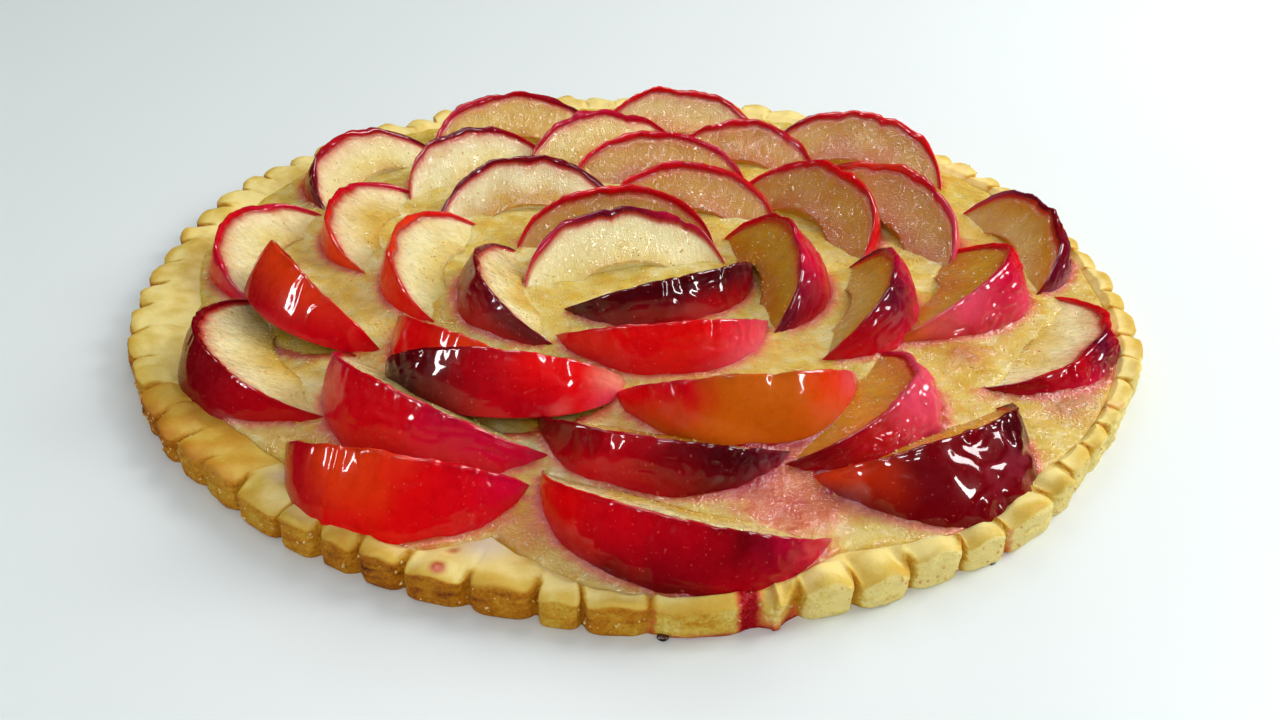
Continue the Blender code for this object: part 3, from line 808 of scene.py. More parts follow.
def skin_paint(crest_tones, foot_tones, around, from_left, skin, fullness, drift, streak):
    """Colour of the skin: one run of tones along the cut edge and one along the foot."""
    place = from_left + 0.06 * drift + 0.03 * streak
    paint = mix(tone_run(crest_tones, place), tone_run(foot_tones, place),
                ease(around * 1.2 - 0.1 + 0.12 * drift + 0.07 * streak))
    paint = mix(paint, TONES["maroon"], 0.45 * np.exp(-around * skin / 1.2) * (1 + streak) / 2)
    return mix(paint, TONES["crimson"], 0.5 * (1 - fullness) + 0 * around)


def slice_surface(key, spot, seed):
    """A slice's grid of points about its stone edge, and what its finish needs at each."""
    _, _, _, length, depth, lean = spot
    raised = radians(RAISED.get(key, 0))
    top = radians(lean)
    half = length / 2
    share = np.linspace(0.006, 0.994, STATIONS)[:, None]
    along = -0.5 * np.cos(pi * share) + 0.5 * (2 * share - 1)
    skin = skin_distance(along, depth, LOPSIDED.get(key, 0))
    stone = stone_distance(along, depth)
    x = along * half
    fullness = np.clip(skin / 9, 0, 1)

    def wave(angle):
        places = np.stack(np.broadcast_arrays(x, skin * np.cos(angle), skin * np.sin(angle)), -1)
        found = SKIN_WAVE * waves(places.reshape(-1, 3), WAVE_SIZE, seed).reshape(places.shape[:2])
        return found * np.clip(fullness * 1.5, 0, 1)

    def low(angle):
        return SAGGED.get(key, 0) * (1 - (angle - raised) / (top - raised)) * skin / depth

    crest_tones, foot_tones, flesh_tones, blush, shrunk_left, shrunk_right = LOOKS[key]
    dried = shrunk_right + (shrunk_left - shrunk_right) * (1 + along) / 2
    ragged = (0.7 + 0.9 * dried) * fullness
    pleats = PLEATS[0] * noise_along(x, PLEATS[1], seed)
    bulges = BULGES[0] * noise_along(x, BULGES[1], seed + 0.5)
    bulges = bulges + SWAYS[0] * noise_along(x, SWAYS[1], seed + 0.8)
    rim_width = (RIM_WIDTH + 0.5 * dried + 0.9 * noise_along(x, 6, seed + 0.4)) * fullness
    from_left = (1 - along) / 2
    torn = torn_edge(key, from_left, length)
    crest = skin + wave(np.full((1, 1), top - raised)) + ragged * (pleats + bulges) - torn
    flesh_share = np.linspace(0, 1, FLESH_STEPS)[None, :] ** 0.85
    flesh_edge = crest - rim_width - 0.2 * fullness
    flesh = stone + (flesh_edge - stone) * flesh_share
    spread = np.stack(np.broadcast_arrays(x, flesh, x * 0), -1)
    broad = waves(spread.reshape(-1, 3), HOLLOW_SIZE, seed + 0.2).reshape(flesh.shape)
    fibres = waves((spread * FIBRE_STRETCH).reshape(-1, 3), FIBRE_SIZE, seed + 0.3).reshape(flesh.shape)
    from_rim = np.maximum(flesh_edge - flesh, 0)
    dip = -DISH_DEPTH * np.sin(pi * flesh_share ** 1.3) * skin / depth
    dip = dip + (0.45 * broad + 0.10 * fibres) * np.clip(from_rim / 3, 0, 1) * fullness
    dip = dip - 0.5 * np.exp(-((from_rim - 0.8) / 0.9) ** 2) * fullness
    rim_rise = (0.55 + 0.35 * dried + 0.5 * pleats + 0.4 * bulges) * fullness
    rim = crest + RIM_PROFILE[:, 0] * rim_width
    rim_lift = rim_rise * RIM_PROFILE[:, 1]
    turn_share = np.linspace(0, 1, SKIN_STEPS + 1)[None, 1:]
    angle = top + (raised - top) * turn_share
    skin_now = skin + wave(angle - raised) + low(angle)
    from_crest = turn_share * (top - raised) * skin
    near_crest = np.exp(-from_crest / 2.5)
    skin_now = skin_now + (ragged * pleats + 0.35 * fullness) * near_crest - torn * near_crest ** 0.5
    skin_now = skin_now + ragged * bulges * near_crest ** 0.4
    skin_now = skin_now + creased(key, from_left, length, turn_share, from_crest) * fullness
    lower_share = np.linspace(0, 1, LOWER_STEPS + 1)[None, 1:]
    lower = skin_now[:, -1:] + (stone - skin_now[:, -1:]) * lower_share
    stone_angle = raised + (top - raised) * np.linspace(0, 1, STONE_STEPS + 2)[None, 1:-1]

    whole = np.ones_like(skin)
    distance = np.hstack((flesh, rim, skin_now, lower, stone * np.ones_like(stone_angle)))
    angles = np.hstack((whole * np.full((1, FLESH_STEPS + len(RIM_PROFILE)), top), whole * angle,
                        whole * np.full((1, LOWER_STEPS), raised), whole * stone_angle))
    lift = np.hstack((dip, rim_lift, np.zeros((STATIONS, SKIN_STEPS + LOWER_STEPS + STONE_STEPS))))
    y = distance * np.cos(angles) - lift * np.sin(angles)
    z = distance * np.sin(angles) + lift * np.cos(angles)
    grid = np.stack((x + distance * 0, y, z), -1)

    around = np.hstack((np.zeros_like(rim), turn_share * whole))
    arc = np.stack(np.broadcast_arrays(x, around * skin * (top - raised), x * 0), -1).reshape(-1, 3)
    drift = waves(arc, CLOUD_SIZE, seed + 0.6).reshape(around.shape)
    streak = waves(arc * (1, 0.3, 1), STREAK_SIZE, seed + 0.7).reshape(around.shape)
    # The lower cut face is painted maroon next to the skin's foot, fading into the flesh tone: painted shade
    # where the slice meets the cream.
    under_tone = TONES[flesh_tones.split()[1]]
    colour = np.concatenate((
        flesh_paint(flesh_tones, blush, flesh, stone, crest, from_rim, fibres, broad),
        skin_paint(crest_tones, foot_tones, around, from_left, skin, fullness, drift, streak),
        mix(TONES["maroon"][None, None], under_tone[None, None],
            np.linspace(-0.5, 1.5, LOWER_STEPS + STONE_STEPS)[None, :] * whole)), 1)

    on_flesh = np.zeros((STATIONS, FLESH_STEPS))
    below = np.zeros((STATIONS, LOWER_STEPS + STONE_STEPS))
    shrink = dried ** 1.7 * ease(around * 5 + 0.3) * ease((1 - around) * 6) * ease(fullness * 1.3)
    shrink = np.hstack((on_flesh, shrink, below))
    pleat = np.exp(-around * skin * (top - raised) / 3) * fullness * (0.35 + 0.65 * from_left)
    pleat = np.hstack((on_flesh, pleat, below))
    flow = np.concatenate((spread, arc.reshape(*around.shape, 3) + (0, depth, 0),
                           np.zeros((*below.shape, 3))), 1)
    reach = (flesh - stone) / np.maximum(crest - stone, 0.1)
    glisten = (0.2 + 0.8 * np.exp(-reach / 0.22) + 0.3 * broad) * fullness * ease(from_rim / 2)
    glisten = np.hstack((glisten, np.zeros((STATIONS, grid.shape[1] - FLESH_STEPS))))
    return grid, colour, shrink, pleat, flow, glisten


def capped_tube(stations, ring):
    """Faces of a tube of rings with a lid on each end, and whether each is a face of skin."""
    here = np.arange(stations - 1)[:, None] * ring
    step = np.arange(ring)[None, :]
    after = (step + 1) % ring
    quads = np.stack((here + step, here + after, here + ring + after, here + ring + step), -1)
    is_skin = (step >= FLESH_STEPS - 1) & (step < FLESH_STEPS + len(RIM_PROFILE) - 1 + SKIN_STEPS)
    is_skin = np.broadcast_to(is_skin, quads.shape[:2])
    first = list(range(ring))[::-1]
    last = list(range((stations - 1) * ring, stations * ring))
    return quads.reshape(-1, 4).tolist() + [first, last], is_skin.ravel().tolist() + [True, True]


skin_finish, tree, surface = new_finish(
    "baked peach skin", Roughness=0.3, Coat_Weight=0.5, Coat_Roughness=0.04, Subsurface_Weight=0.06,
    Subsurface_Scale=1.5 * MM, Specular_IOR_Level=0.03)
surface.inputs["Subsurface Radius"].default_value = (1.0, 0.25, 0.2)
places = object_places(tree)
fine = noise_value(tree, places, 0.8, 3.0)
blotch = noise_value(tree, places, 3.0, 4.0)
shade = calc(tree, 'ADD', calc(tree, 'MULTIPLY', fine, 0.5), calc(tree, 'MULTIPLY', blotch, 0.9))
skin_colour = read_colour(tree, "paint")
darker = blend_colours(tree, 0.75, skin_colour, tone(60, 6, 20), 'MULTIPLY')
dark_share = add_node(tree, 'ShaderNodeMapRange', {
    "Value": shade, "From Min": 0.45, "From Max": 0.75, "To Min": 0.18, "To Max": 0.0}).outputs[0]
varied = blend_colours(tree, dark_share, skin_colour, darker)
# Painted highlight: the ridges of the folds are made pale pink, as where they catch the light.
fold_ridge_highlight = add_node(tree, 'ShaderNodeMapRange', {
    "Value": read_value(tree, "fold"), "From Min": 0.3, "From Max": 1.0, "To Max": 0.4}).outputs[0]
varied = blend_colours(tree, fold_ridge_highlight, varied, tone(206, 70, 96))
pale_specks = add_node(tree, 'ShaderNodeMapRange', {
    "Value": noise_value(tree, places, 1.0, 1.0), "From Min": 0.68, "From Max": 0.78,
    "To Max": 0.3}).outputs[0]
varied = blend_colours(tree, pale_specks, varied, tone(244, 120, 104))
tree.links.new(varied, surface.inputs["Base Color"])
tree.links.new(add_node(tree, 'ShaderNodeMapRange', {
    "Value": blotch, "From Min": 0.3, "From Max": 0.7, "To Min": 0.18, "To Max": 0.4}).outputs[0],
    surface.inputs["Roughness"])
relief = add_node(tree, 'ShaderNodeBump', {"Height": fine, "Strength": 0.25, "Distance": 0.15 * MM})
tree.links.new(relief.outputs[0], surface.inputs["Normal"])

# A wet film lies on the flesh and on the cream in patches
film_group, film_in, film_out = new_group(
    "wet film", {"Patch Scale": FLOAT, "Patch Detail": FLOAT, "Dry Below": FLOAT, "Least": FLOAT},
    {"Wet": FLOAT})
film_patches = add_node(film_group, 'ShaderNodeTexNoise', {
    "Vector": object_places(film_group), "Scale": film_in["Patch Scale"], "Detail": film_in["Patch Detail"],
    "Roughness": 0.55}).outputs[0]
film_share = add_node(film_group, 'ShaderNodeMapRange', {
    "Value": film_patches, "From Min": film_in["Dry Below"], "From Max": 0.58, "To Min": film_in["Least"],
    "To Max": 0.9}).outputs[0]
film_group.links.new(film_share, film_out["Wet"])

flesh_finish, tree, surface = new_finish(
    "baked peach flesh", Roughness=0.4, Coat_Roughness=0.05, Subsurface_Weight=0.35,
    Subsurface_Scale=2.5 * MM, Specular_IOR_Level=0.15)
surface.inputs["Subsurface Radius"].default_value = (1.0, 0.6, 0.3)
flow_place = add_node(tree, 'ShaderNodeAttribute', attribute_name="flow").outputs["Vector"]
stretched = add_node(tree, 'ShaderNodeMapping', {"Vector": flow_place, "Scale": (5.0, 1.0, 1.0)}).outputs[0]
fibre = add_node(tree, 'ShaderNodeTexNoise', {
    "Vector": stretched, "Scale": 0.35, "Detail": 3.0, "Roughness": 0.6}).outputs[0]
places = object_places(tree)
cells = noise_value(tree, places, 0.6, 2.0)
cloud = noise_value(tree, places, 7.0, 3.0)
fibre_share = add_node(tree, 'ShaderNodeMapRange', {
    "Value": fibre, "From Min": 0.35, "From Max": 0.7, "To Min": 0.0, "To Max": 0.45}).outputs[0]
flesh_colour = blend_colours(tree, fibre_share, read_colour(tree, "paint"), tone(226, 202, 150), 'MULTIPLY')
wet_share = add_node(tree, 'ShaderNodeMapRange', {
    "Value": cloud, "From Min": 0.45, "From Max": 0.7, "To Max": 0.35}).outputs[0]
flesh_colour = blend_colours(tree, wet_share, flesh_colour, tone(228, 190, 120), 'MULTIPLY')
tree.links.new(flesh_colour, surface.inputs["Base Color"])
tree.links.new(add_node(tree, 'ShaderNodeMapRange', {
    "Value": cloud, "From Min": 0.35, "From Max": 0.65, "To Min": 0.3, "To Max": 0.12}).outputs[0],
    surface.inputs["Roughness"])
film = use_group(tree, film_group, {
    "Patch Scale": 1 / (2.4 * MM), "Patch Detail": 2.0, "Dry Below": 0.42, "Least": 0.06})
tree.links.new(film["Wet"], surface.inputs["Coat Weight"])
film_relief = add_node(tree, 'ShaderNodeBump', {
    "Height": noise_value(tree, places, 1.6, 1.5), "Strength": 1.0, "Distance": 1.5 * MM})
tree.links.new(film_relief.outputs[0], surface.inputs["Coat Normal"])
flesh_height = calc(tree, 'ADD', calc(tree, 'MULTIPLY', fibre, 0.6), calc(tree, 'MULTIPLY', cells, 0.8))
relief = add_node(tree, 'ShaderNodeBump', {"Height": flesh_height, "Strength": 0.8, "Distance": 0.4 * MM})
tree.links.new(relief.outputs[0], surface.inputs["Normal"])


def wrinkle_tree():
    """A tree that folds the skin where it shrank as it dried, and pleats it along the cut edge."""
    tree = bpy.data.node_groups.new("shrunken skin", 'GeometryNodeTree')
    tree.interface.new_socket("Slice", in_out='INPUT', socket_type='NodeSocketGeometry')
    for name in ("Fold Depth", "Fold Size", "Pleat Depth", "Pleat Size"):
        tree.interface.new_socket(name, in_out='INPUT', socket_type=FLOAT)
    tree.interface.new_socket("Slice", in_out='OUTPUT', socket_type='NodeSocketGeometry')
    given = tree.nodes.new('NodeGroupInput').outputs
    out = tree.nodes.new('NodeGroupOutput').inputs

    def named(name, kind='FLOAT'):
        node = add_node(tree, 'GeometryNodeInputNamedAttribute', data_type=kind)
        node.inputs["Name"].default_value = name
        return node.outputs[0]

    def vector_calc(operation, *values):
        return add_node(tree, 'ShaderNodeVectorMath', dict(enumerate(values)), operation=operation).outputs[0]

    def scaled(vector, factor):
        inputs = {"Vector": vector, "Scale": factor}
        return add_node(tree, 'ShaderNodeVectorMath', inputs, operation='SCALE').outputs[0]

    flow = named("flow", 'FLOAT_VECTOR')
    size = given["Fold Size"]
    coarse = calc(tree, 'DIVIDE', 0.45, size)
    bend = add_node(tree, 'ShaderNodeTexNoise', {"Vector": flow, "Scale": coarse, "Detail": 1.0}).outputs[1]
    bend = scaled(vector_calc('SUBTRACT', bend, (0.5, 0.5, 0.5)), calc(tree, 'MULTIPLY', size, 1.6))
    bent = vector_calc('ADD', vector_calc('MULTIPLY', flow, (0.75, 1.1, 1.0)), bend)
    lines = add_node(tree, 'ShaderNodeTexNoise', {
        "Vector": bent, "Scale": calc(tree, 'DIVIDE', 0.8, size), "Detail": 1.5, "Roughness": 0.4}).outputs[0]
    away = calc(tree, 'ABSOLUTE', calc(tree, 'SUBTRACT', lines, 0.5))
    ridge = add_node(tree, 'ShaderNodeMapRange', {
        "Value": away, "From Min": 0.0, "From Max": 0.11, "To Min": 1.0, "To Max": 0.0},
        interpolation_type='SMOOTHSTEP').outputs[0]
    dents = add_node(tree, 'ShaderNodeTexNoise', {
        "Vector": bent, "Scale": calc(tree, 'DIVIDE', 0.5, size), "Detail": 0.0}).outputs[0]
    dents = calc(tree, 'SUBTRACT', dents, 0.55)
    fold = calc(tree, 'ADD', calc(tree, 'MULTIPLY', ridge, 0.8), calc(tree, 'MULTIPLY', dents, 3.2))
    fold = calc(tree, 'MULTIPLY', calc(tree, 'MULTIPLY', fold, given["Fold Depth"]), named("shrink"))
    across = vector_calc('MULTIPLY', flow, (1.0, 0.25, 1.0))
    gathers = add_node(tree, 'ShaderNodeTexNoise', {
        "Vector": across, "Scale": calc(tree, 'DIVIDE', 1.0, given["Pleat Size"]), "Detail": 1.0}).outputs[0]
    gathers = calc(tree, 'MULTIPLY', calc(tree, 'SUBTRACT', gathers, 0.5), given["Pleat Depth"])
    gathers = calc(tree, 'MULTIPLY', calc(tree, 'MULTIPLY', gathers, 2.5), named("pleat"))
    normal = add_node(tree, 'GeometryNodeInputNormal').outputs[0]
    push = scaled(normal, calc(tree, 'MULTIPLY', calc(tree, 'ADD', fold, gathers), MM))
    kept = add_node(tree, 'GeometryNodeStoreNamedAttribute', {
        "Geometry": given["Slice"], "Value": calc(tree, 'MULTIPLY', ridge, named("shrink"))},
        data_type='FLOAT', domain='POINT')
    kept.inputs["Name"].default_value = "fold"
    moved = add_node(tree, 'GeometryNodeSetPosition', {"Geometry": kept.outputs[0], "Offset": push})
    real = add_node(tree, 'GeometryNodeRealizeInstances', {"Geometry": moved.outputs[0]}).outputs[0]
    fleshed = add_node(tree, 'GeometryNodeSetMaterial', {
        "Geometry": real, "Material": flesh_finish}).outputs[0]
    skinned = add_node(tree, 'GeometryNodeSetMaterial', {
        "Geometry": fleshed, "Selection": named("is skin", 'BOOLEAN'), "Material": skin_finish}).outputs[0]
    tree.links.new(skinned, out["Slice"])
    return tree


def made_plain(item, tree, **values):
    """Applies a node tree with these values to an object and leaves a plain mesh."""
    shaping = item.modifiers.new("shaping", 'NODES')
    shaping.node_group = tree
    for socket in tree.interface.items_tree:
        if socket.in_out == 'INPUT' and socket.name.replace(" ", "_") in values:
            shaping[socket.identifier] = values[socket.name.replace(" ", "_")]
    bpy.context.view_layer.update()
    evaluated = item.evaluated_get(bpy.context.evaluated_depsgraph_get())
    mesh = bpy.data.meshes.new_from_object(evaluated)
    item.modifiers.clear()
    item.data = mesh
    return item


shrunken_skin = wrinkle_tree()
for key, spot, height, seed in slice_places():
    grid, colour, shrink, pleat, flow, glisten = slice_surface(key, spot, seed)
    faces, is_skin = capped_tube(*grid.shape[:2])
    item = new_piece("baked_peach_" + key, to_tart(grid, spot, height).reshape(-1, 3), faces)
    add_colours(item, "paint", colour.reshape(-1, 3))
    add_values(item, "shrink", shrink)
    add_values(item, "pleat", pleat)
    add_values(item, "glisten", np.maximum(glisten, 0))
    layer = item.data.attributes.new("flow", 'FLOAT_VECTOR', 'POINT')
    layer.data.foreach_set("vector", (flow + (0, 0, seed * 40)).astype(np.float32).ravel())
    layer = item.data.attributes.new("is skin", 'BOOLEAN', 'FACE')
    layer.data.foreach_set("value", is_skin)
    fold_depth, fold_size = FOLDS.get(key, USUAL_FOLDS)
    made_plain(item, shrunken_skin, Fold_Depth=fold_depth, Fold_Size=fold_size,
               Pleat_Depth=EDGE_PLEATS[0], Pleat_Size=EDGE_PLEATS[1])
    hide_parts("peach_" + key)
    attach(item, "root")

# Almond cream
# A thin layer of almond cream, spread in the crust and baked round the slices. It is yellow, grainy
# and wet, lumpy where it rose, golden where it browned, and pink where juice ran into it.
CREAM_LEVEL = 8.4
CREAM_EDGE_DROP = 1.2
CREAM_WAVE = 0.9
CREAM_WAVE_SIZE = 22
CREAM_CELL = 0.74
CREAM_BLOCK = 8
CREAM_REACH = 155
LUMP_HEIGHT = 0.6
LUMP_SIZE = 6
CRUMB_HEIGHT = 0.16
CRUMB_SPACING = 2.1
RISE_OF_LUMPS = 1.1
EDGE_TUCK = 3.2

# How high the cream is drawn up against a skin and against flesh, and how far from it, in mm
CLIMB_AT_SKIN = (0.45, 0.9)
CLIMB_AT_FLESH = (0.4, 1.6)

# How far juice spreads from a skin, in mm
JUICE_SPREAD = 2.0

# Lumps that rose and turned yellow: bearing, distance and size in mm, and how much
RISEN = (
    (-153, 68, 17, 0.9), (-106, 68, 15, 0.8), (-59, 96, 12, 0.5), (-14, 96, 16, 0.8), (-29, 106, 14, 0.9),
    (20, 98, 14, 0.5), (-29, 134, 17, 1.3), (-8, 60, 12, 0.4), (60, 60, 12, 0.4), (135, 60, 14, 0.4),
)

# Where juice pooled in the cream: bearing, distance and size in mm, and how much
POOLS = (
    (-67, 99, 24, 1.0), (-72, 122, 24, 1.2), (-63, 118, 18, 1.1), (-84, 146, 9, 0.9),
    (-38, 118, 9, 0.4), (10, 110, 12, 0.45), (-122, 108, 12, 0.4), (-20, 78, 14, 0.35), (-45, 70, 14, 0.3),
)

# Where it browned: bearing, distance and size in mm, and how much
TOASTED = (
    (-100, 128, 18, 0.5), (-32, 134, 15, 0.5), (-128, 122, 16, 0.35), (-28, 108, 12, 0.3),
    (-100, 60, 16, 0.25), (172, 122, 18, 0.3), (90, 40, 16, 0.3), (-14, 40, 14, 0.25),
)


def cream_height(x, y):
    """Level of the cream: low waves between the slices, and a drop to the border."""
    flat = np.stack((x, y, x * 0), -1)
    wave = CREAM_WAVE * (waves(flat, CREAM_WAVE_SIZE) + 0.4 * waves(flat * 2.3, CREAM_WAVE_SIZE))
    reach = np.hypot(x, y) / TART_RADIUS
    return CREAM_LEVEL + wave - CREAM_EDGE_DROP * np.maximum(0, reach - 0.8) / 0.2


def beside_slices(x, y, level):
    """For each point: how far it is from a skin's foot, from where flesh comes up, and if it is covered."""
    skin_gap = np.full(x.shape, 99.0)
    flesh_gap = np.full(x.shape, 99.0)
    covered = np.zeros(x.shape, bool)
    for key, spot, height, _ in slice_places():
        distance, bearing, facing, length, depth, lean = spot
        turn = radians(facing - 90)
        dx = x - distance * cos(radians(bearing))
        dy = y - distance * sin(radians(bearing))
        local_x = dx * cos(turn) + dy * sin(turn)
        local_y = dy * cos(turn) - dx * sin(turn)
        near = (np.abs(local_x) < length / 2 + 9) & (local_y > -6) & (local_y < depth + 16)
        lx, ly = local_x[near], local_y[near]
        along = np.clip(2 * lx / length, -1, 1)
        foot = skin_distance(along, depth, LOPSIDED.get(key, 0)) * (1 + SAGGED.get(key, 0) / depth)
        comes_up = np.maximum((level - height) / np.tan(radians(lean)), stone_distance(along, depth))
        share = np.linspace(-1, 1, 61)
        line_y = skin_distance(share, depth, LOPSIDED.get(key, 0)) * (1 + SAGGED.get(key, 0) / depth)
        away = np.hypot(lx[:, None] - share * length / 2, ly[:, None] - line_y).min(1)
        within = (ly < foot) & (ly > 0) & (np.abs(lx) < length / 2)
        away = np.where(within, -away, away)
        side = np.where(ly > comes_up * 0.5, away, 99)
        skin_gap[near] = np.minimum(skin_gap[near], np.where(side < -1.5, 99, side))
        behind = np.where((np.abs(lx) < length / 2 - 2) & (ly < foot), np.abs(ly - comes_up), 99)
        flesh_gap[near] = np.minimum(flesh_gap[near], behind)
        covered[near] |= within & (ly > comes_up + 2.5) & (away < -2.5)
    return skin_gap, flesh_gap, covered


def cream_faces(index, covered):
    """Faces over a square grid of points, one large face for each block that slices cover."""
    blocks = (len(index) - 1) // CREAM_BLOCK
    step = CREAM_BLOCK
    patches = {}
    hidden = np.zeros((blocks, blocks), bool)
    for column in range(blocks):
        for row in range(blocks):
            patch = index[column * step:(column + 1) * step + 1, row * step:(row + 1) * step + 1]
            patches[column, row] = patch
            hidden[column, row] = patch.min() >= 0 and covered[patch].all()
    faces = []
    for (column, row), patch in patches.items():
        if not hidden[column, row]:
            quads = np.stack((patch[:-1, :-1], patch[1:, :-1], patch[1:, 1:], patch[:-1, 1:]), -1)
            quads = quads.reshape(-1, 4)
            faces += quads[quads.min(1) >= 0].tolist()
            continue
        sides = ((patch[:, 0], column, row - 1), (patch[-1, :], column + 1, row),
                 (patch[::-1, -1], column, row + 1), (patch[0, ::-1], column - 1, row))
        loop = []
        for side, beside_column, beside_row in sides:
            inside = 0 <= beside_column < blocks and 0 <= beside_row < blocks
            coarse = inside and hidden[beside_column, beside_row]
            loop += side[:1].tolist() if coarse else side[:-1].tolist()
        faces.append(loop)
    return faces


def cream_surface():
    """The cream's points and faces, how golden it is, how much juice it holds and how grainy it is."""
    count = 2 * int(CREAM_REACH / (CREAM_CELL * CREAM_BLOCK)) * CREAM_BLOCK + 1
    row = (np.arange(count) - (count - 1) / 2) * CREAM_CELL
    x, y = (grid.ravel() for grid in np.meshgrid(row, row, indexing='ij'))
    radius = np.hypot(x, y)
    inner = at_bearing(INNER_EDGE, np.degrees(np.arctan2(y, x)))
    inside = radius < inner + 1.6
    index = np.full(x.shape, -1)
    index[inside] = np.arange(inside.sum())
    x, y, radius, inner = x[inside], y[inside], radius[inside], inner[inside]
    skin_gap, flesh_gap, covered = beside_slices(x, y, CREAM_LEVEL)

    flat = np.stack((x, y, x * 0), -1)
    lumps = waves(flat, LUMP_SIZE, 4)
    crumbs = waves(flat, CRUMB_SPACING, 5)
    risen = strongest_mark(flat, RISEN)
    pools = strongest_mark(flat, POOLS)
    from_skin = np.maximum(skin_gap, 0)
    climb = CLIMB_AT_SKIN[0] * np.exp(-from_skin / CLIMB_AT_SKIN[1])
    climb = climb + CLIMB_AT_FLESH[0] * np.exp(-flesh_gap / CLIMB_AT_FLESH[1])
    z = cream_height(x, y) + climb + LUMP_HEIGHT * lumps + RISE_OF_LUMPS * risen
    z = z + (CRUMB_HEIGHT + 0.12 * risen) * crumbs - EDGE_TUCK * ease((radius - inner + 0.4) / 1.6)

    gold = 0.34 + strongest_mark(flat, TOASTED) + 0.42 * risen + 0.24 * lumps + 0.1 * crumbs
    gold = gold - 0.2 * np.exp(-flesh_gap / 3)
    juice = 0.9 * np.exp(-(from_skin / JUICE_SPREAD) ** 1.1) + 0.75 * pools + 0.08 * lumps - 0.04
    grainy = np.where(covered, 0, 0.45 + 1.2 * risen + 0.4 * lumps - pools)
    grainy = np.clip(grainy * ease(skin_gap / 2) * ease((inner - radius) / 3), 0, 1)
    return np.stack((x, y, z), -1), cream_faces(index.reshape(count, count), covered), gold, juice, grainy


def close_below(item, level):
    """Draws the open edge of a layer straight down to a level and closes it there."""
    bm = bmesh.new()
    bm.from_mesh(item.data)
    bmesh.ops.delete(bm, geom=[vert for vert in bm.verts if not vert.link_faces], context='VERTS')
    edges = [edge for edge in bm.edges if edge.is_boundary]
    drawn = bmesh.ops.extrude_edge_only(bm, edges=edges)["geom"]
    for vert in (part for part in drawn if isinstance(part, bmesh.types.BMVert)):
        vert.co.z = level * MM
    below = [part for part in drawn if isinstance(part, bmesh.types.BMEdge) and part.is_boundary]
    bmesh.ops.holes_fill(bm, edges=below, sides=0)
    bmesh.ops.recalc_face_normals(bm, faces=bm.faces)
    bm.to_mesh(item.data)
    bm.free()


points, faces, gold, juice, grainy = cream_surface()
cream = new_piece("almond_cream", points, faces)
add_values(cream, "gold", gold)
add_values(cream, "juice", juice)
add_values(cream, "grainy", grainy)
close_below(cream, BASE_THICKNESS + GAP)

cream_finish, tree, surface = new_finish(
    "baked almond cream", Roughness=0.3, Coat_Roughness=0.05, Subsurface_Weight=0.25,
    Subsurface_Scale=2 * MM, Specular_IOR_Level=0.25)
surface.inputs["Subsurface Radius"].default_value = (1.0, 0.8, 0.4)
places = object_places(tree)
grain = use_group(tree, grain_group, {"Coarse": 1 / (0.9 * MM), "Fine": 1 / (0.55 * MM)})
mottle = calc(tree, 'SUBTRACT', noise_value(tree, places, 6.0, 4.0), 0.5)
colouring = calc(tree, 'ADD', read_value(tree, "gold"), calc(tree, 'MULTIPLY', mottle, 0.7))
baked_cream = colour_ramp(
    tree, colouring, (0.0, tone(238, 222, 150)), (0.28, tone(224, 192, 80)), (0.48, tone(214, 172, 40)),
    (0.66, tone(212, 160, 14)), (0.85, tone(208, 142, 6)), (1.0, tone(196, 118, 4)))
# Pale spots on the cream: partly pale grains, partly painted sparkle highlights.
speck_sparkle_share = calc(tree, 'MULTIPLY', grain["Specks"], 0.35)
baked_cream = blend_colours(tree, speck_sparkle_share, baked_cream, tone(246, 232, 170))
stain = use_group(tree, stain_group, {"Base": baked_cream, "Juice": read_value(tree, "juice")})
tree.links.new(stain["Colour"], surface.inputs["Base Color"])
dullness = calc(tree, 'SUBTRACT', 0.24, calc(tree, 'MULTIPLY', stain["Wet"], 0.14))
tree.links.new(dullness, surface.inputs["Roughness"])
relief = add_node(tree, 'ShaderNodeBump', {"Height": grain["Height"], "Strength": 1.0, "Distance": 0.5 * MM})
tree.links.new(relief.outputs[0], surface.inputs["Normal"])
film = use_group(tree, film_group, {
    "Patch Scale": 1 / (4.0 * MM), "Patch Detail": 3.0, "Dry Below": 0.4, "Least": 0.1})
wetness = calc(tree, 'MAXIMUM', film["Wet"], calc(tree, 'MULTIPLY', stain["Wet"], 0.6))
tree.links.new(wetness, surface.inputs["Coat Weight"])
film_relief = add_node(tree, 'ShaderNodeBump', {
    "Height": noise_value(tree, places, 1.5, 2.0), "Strength": 1.0, "Distance": 1.4 * MM})
tree.links.new(film_relief.outputs[0], surface.inputs["Coat Normal"])
cream.data.materials.append(cream_finish)
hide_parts("cream")
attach(cream, "root")

# Crumbs and almond grains
# Grains of ground almond and sugar stand out of the cream where it rose, and crumbs of shortcrust
# cling to the cut faces of the border. They are scattered over the finished surfaces: sizes in mm,
# densities in grains to the square metre.
GRAIN_SIZE = 0.6
GRAIN_DENSITY = 260000
GRAIN_SEED = 11
CRUMB_SIZE = 0.8
CRUMB_DENSITY = 60000
CRUMB_SEED = 23
SIZE_SPREAD = 0.5
LUMP_FLATNESS = (0.8, 0.6)


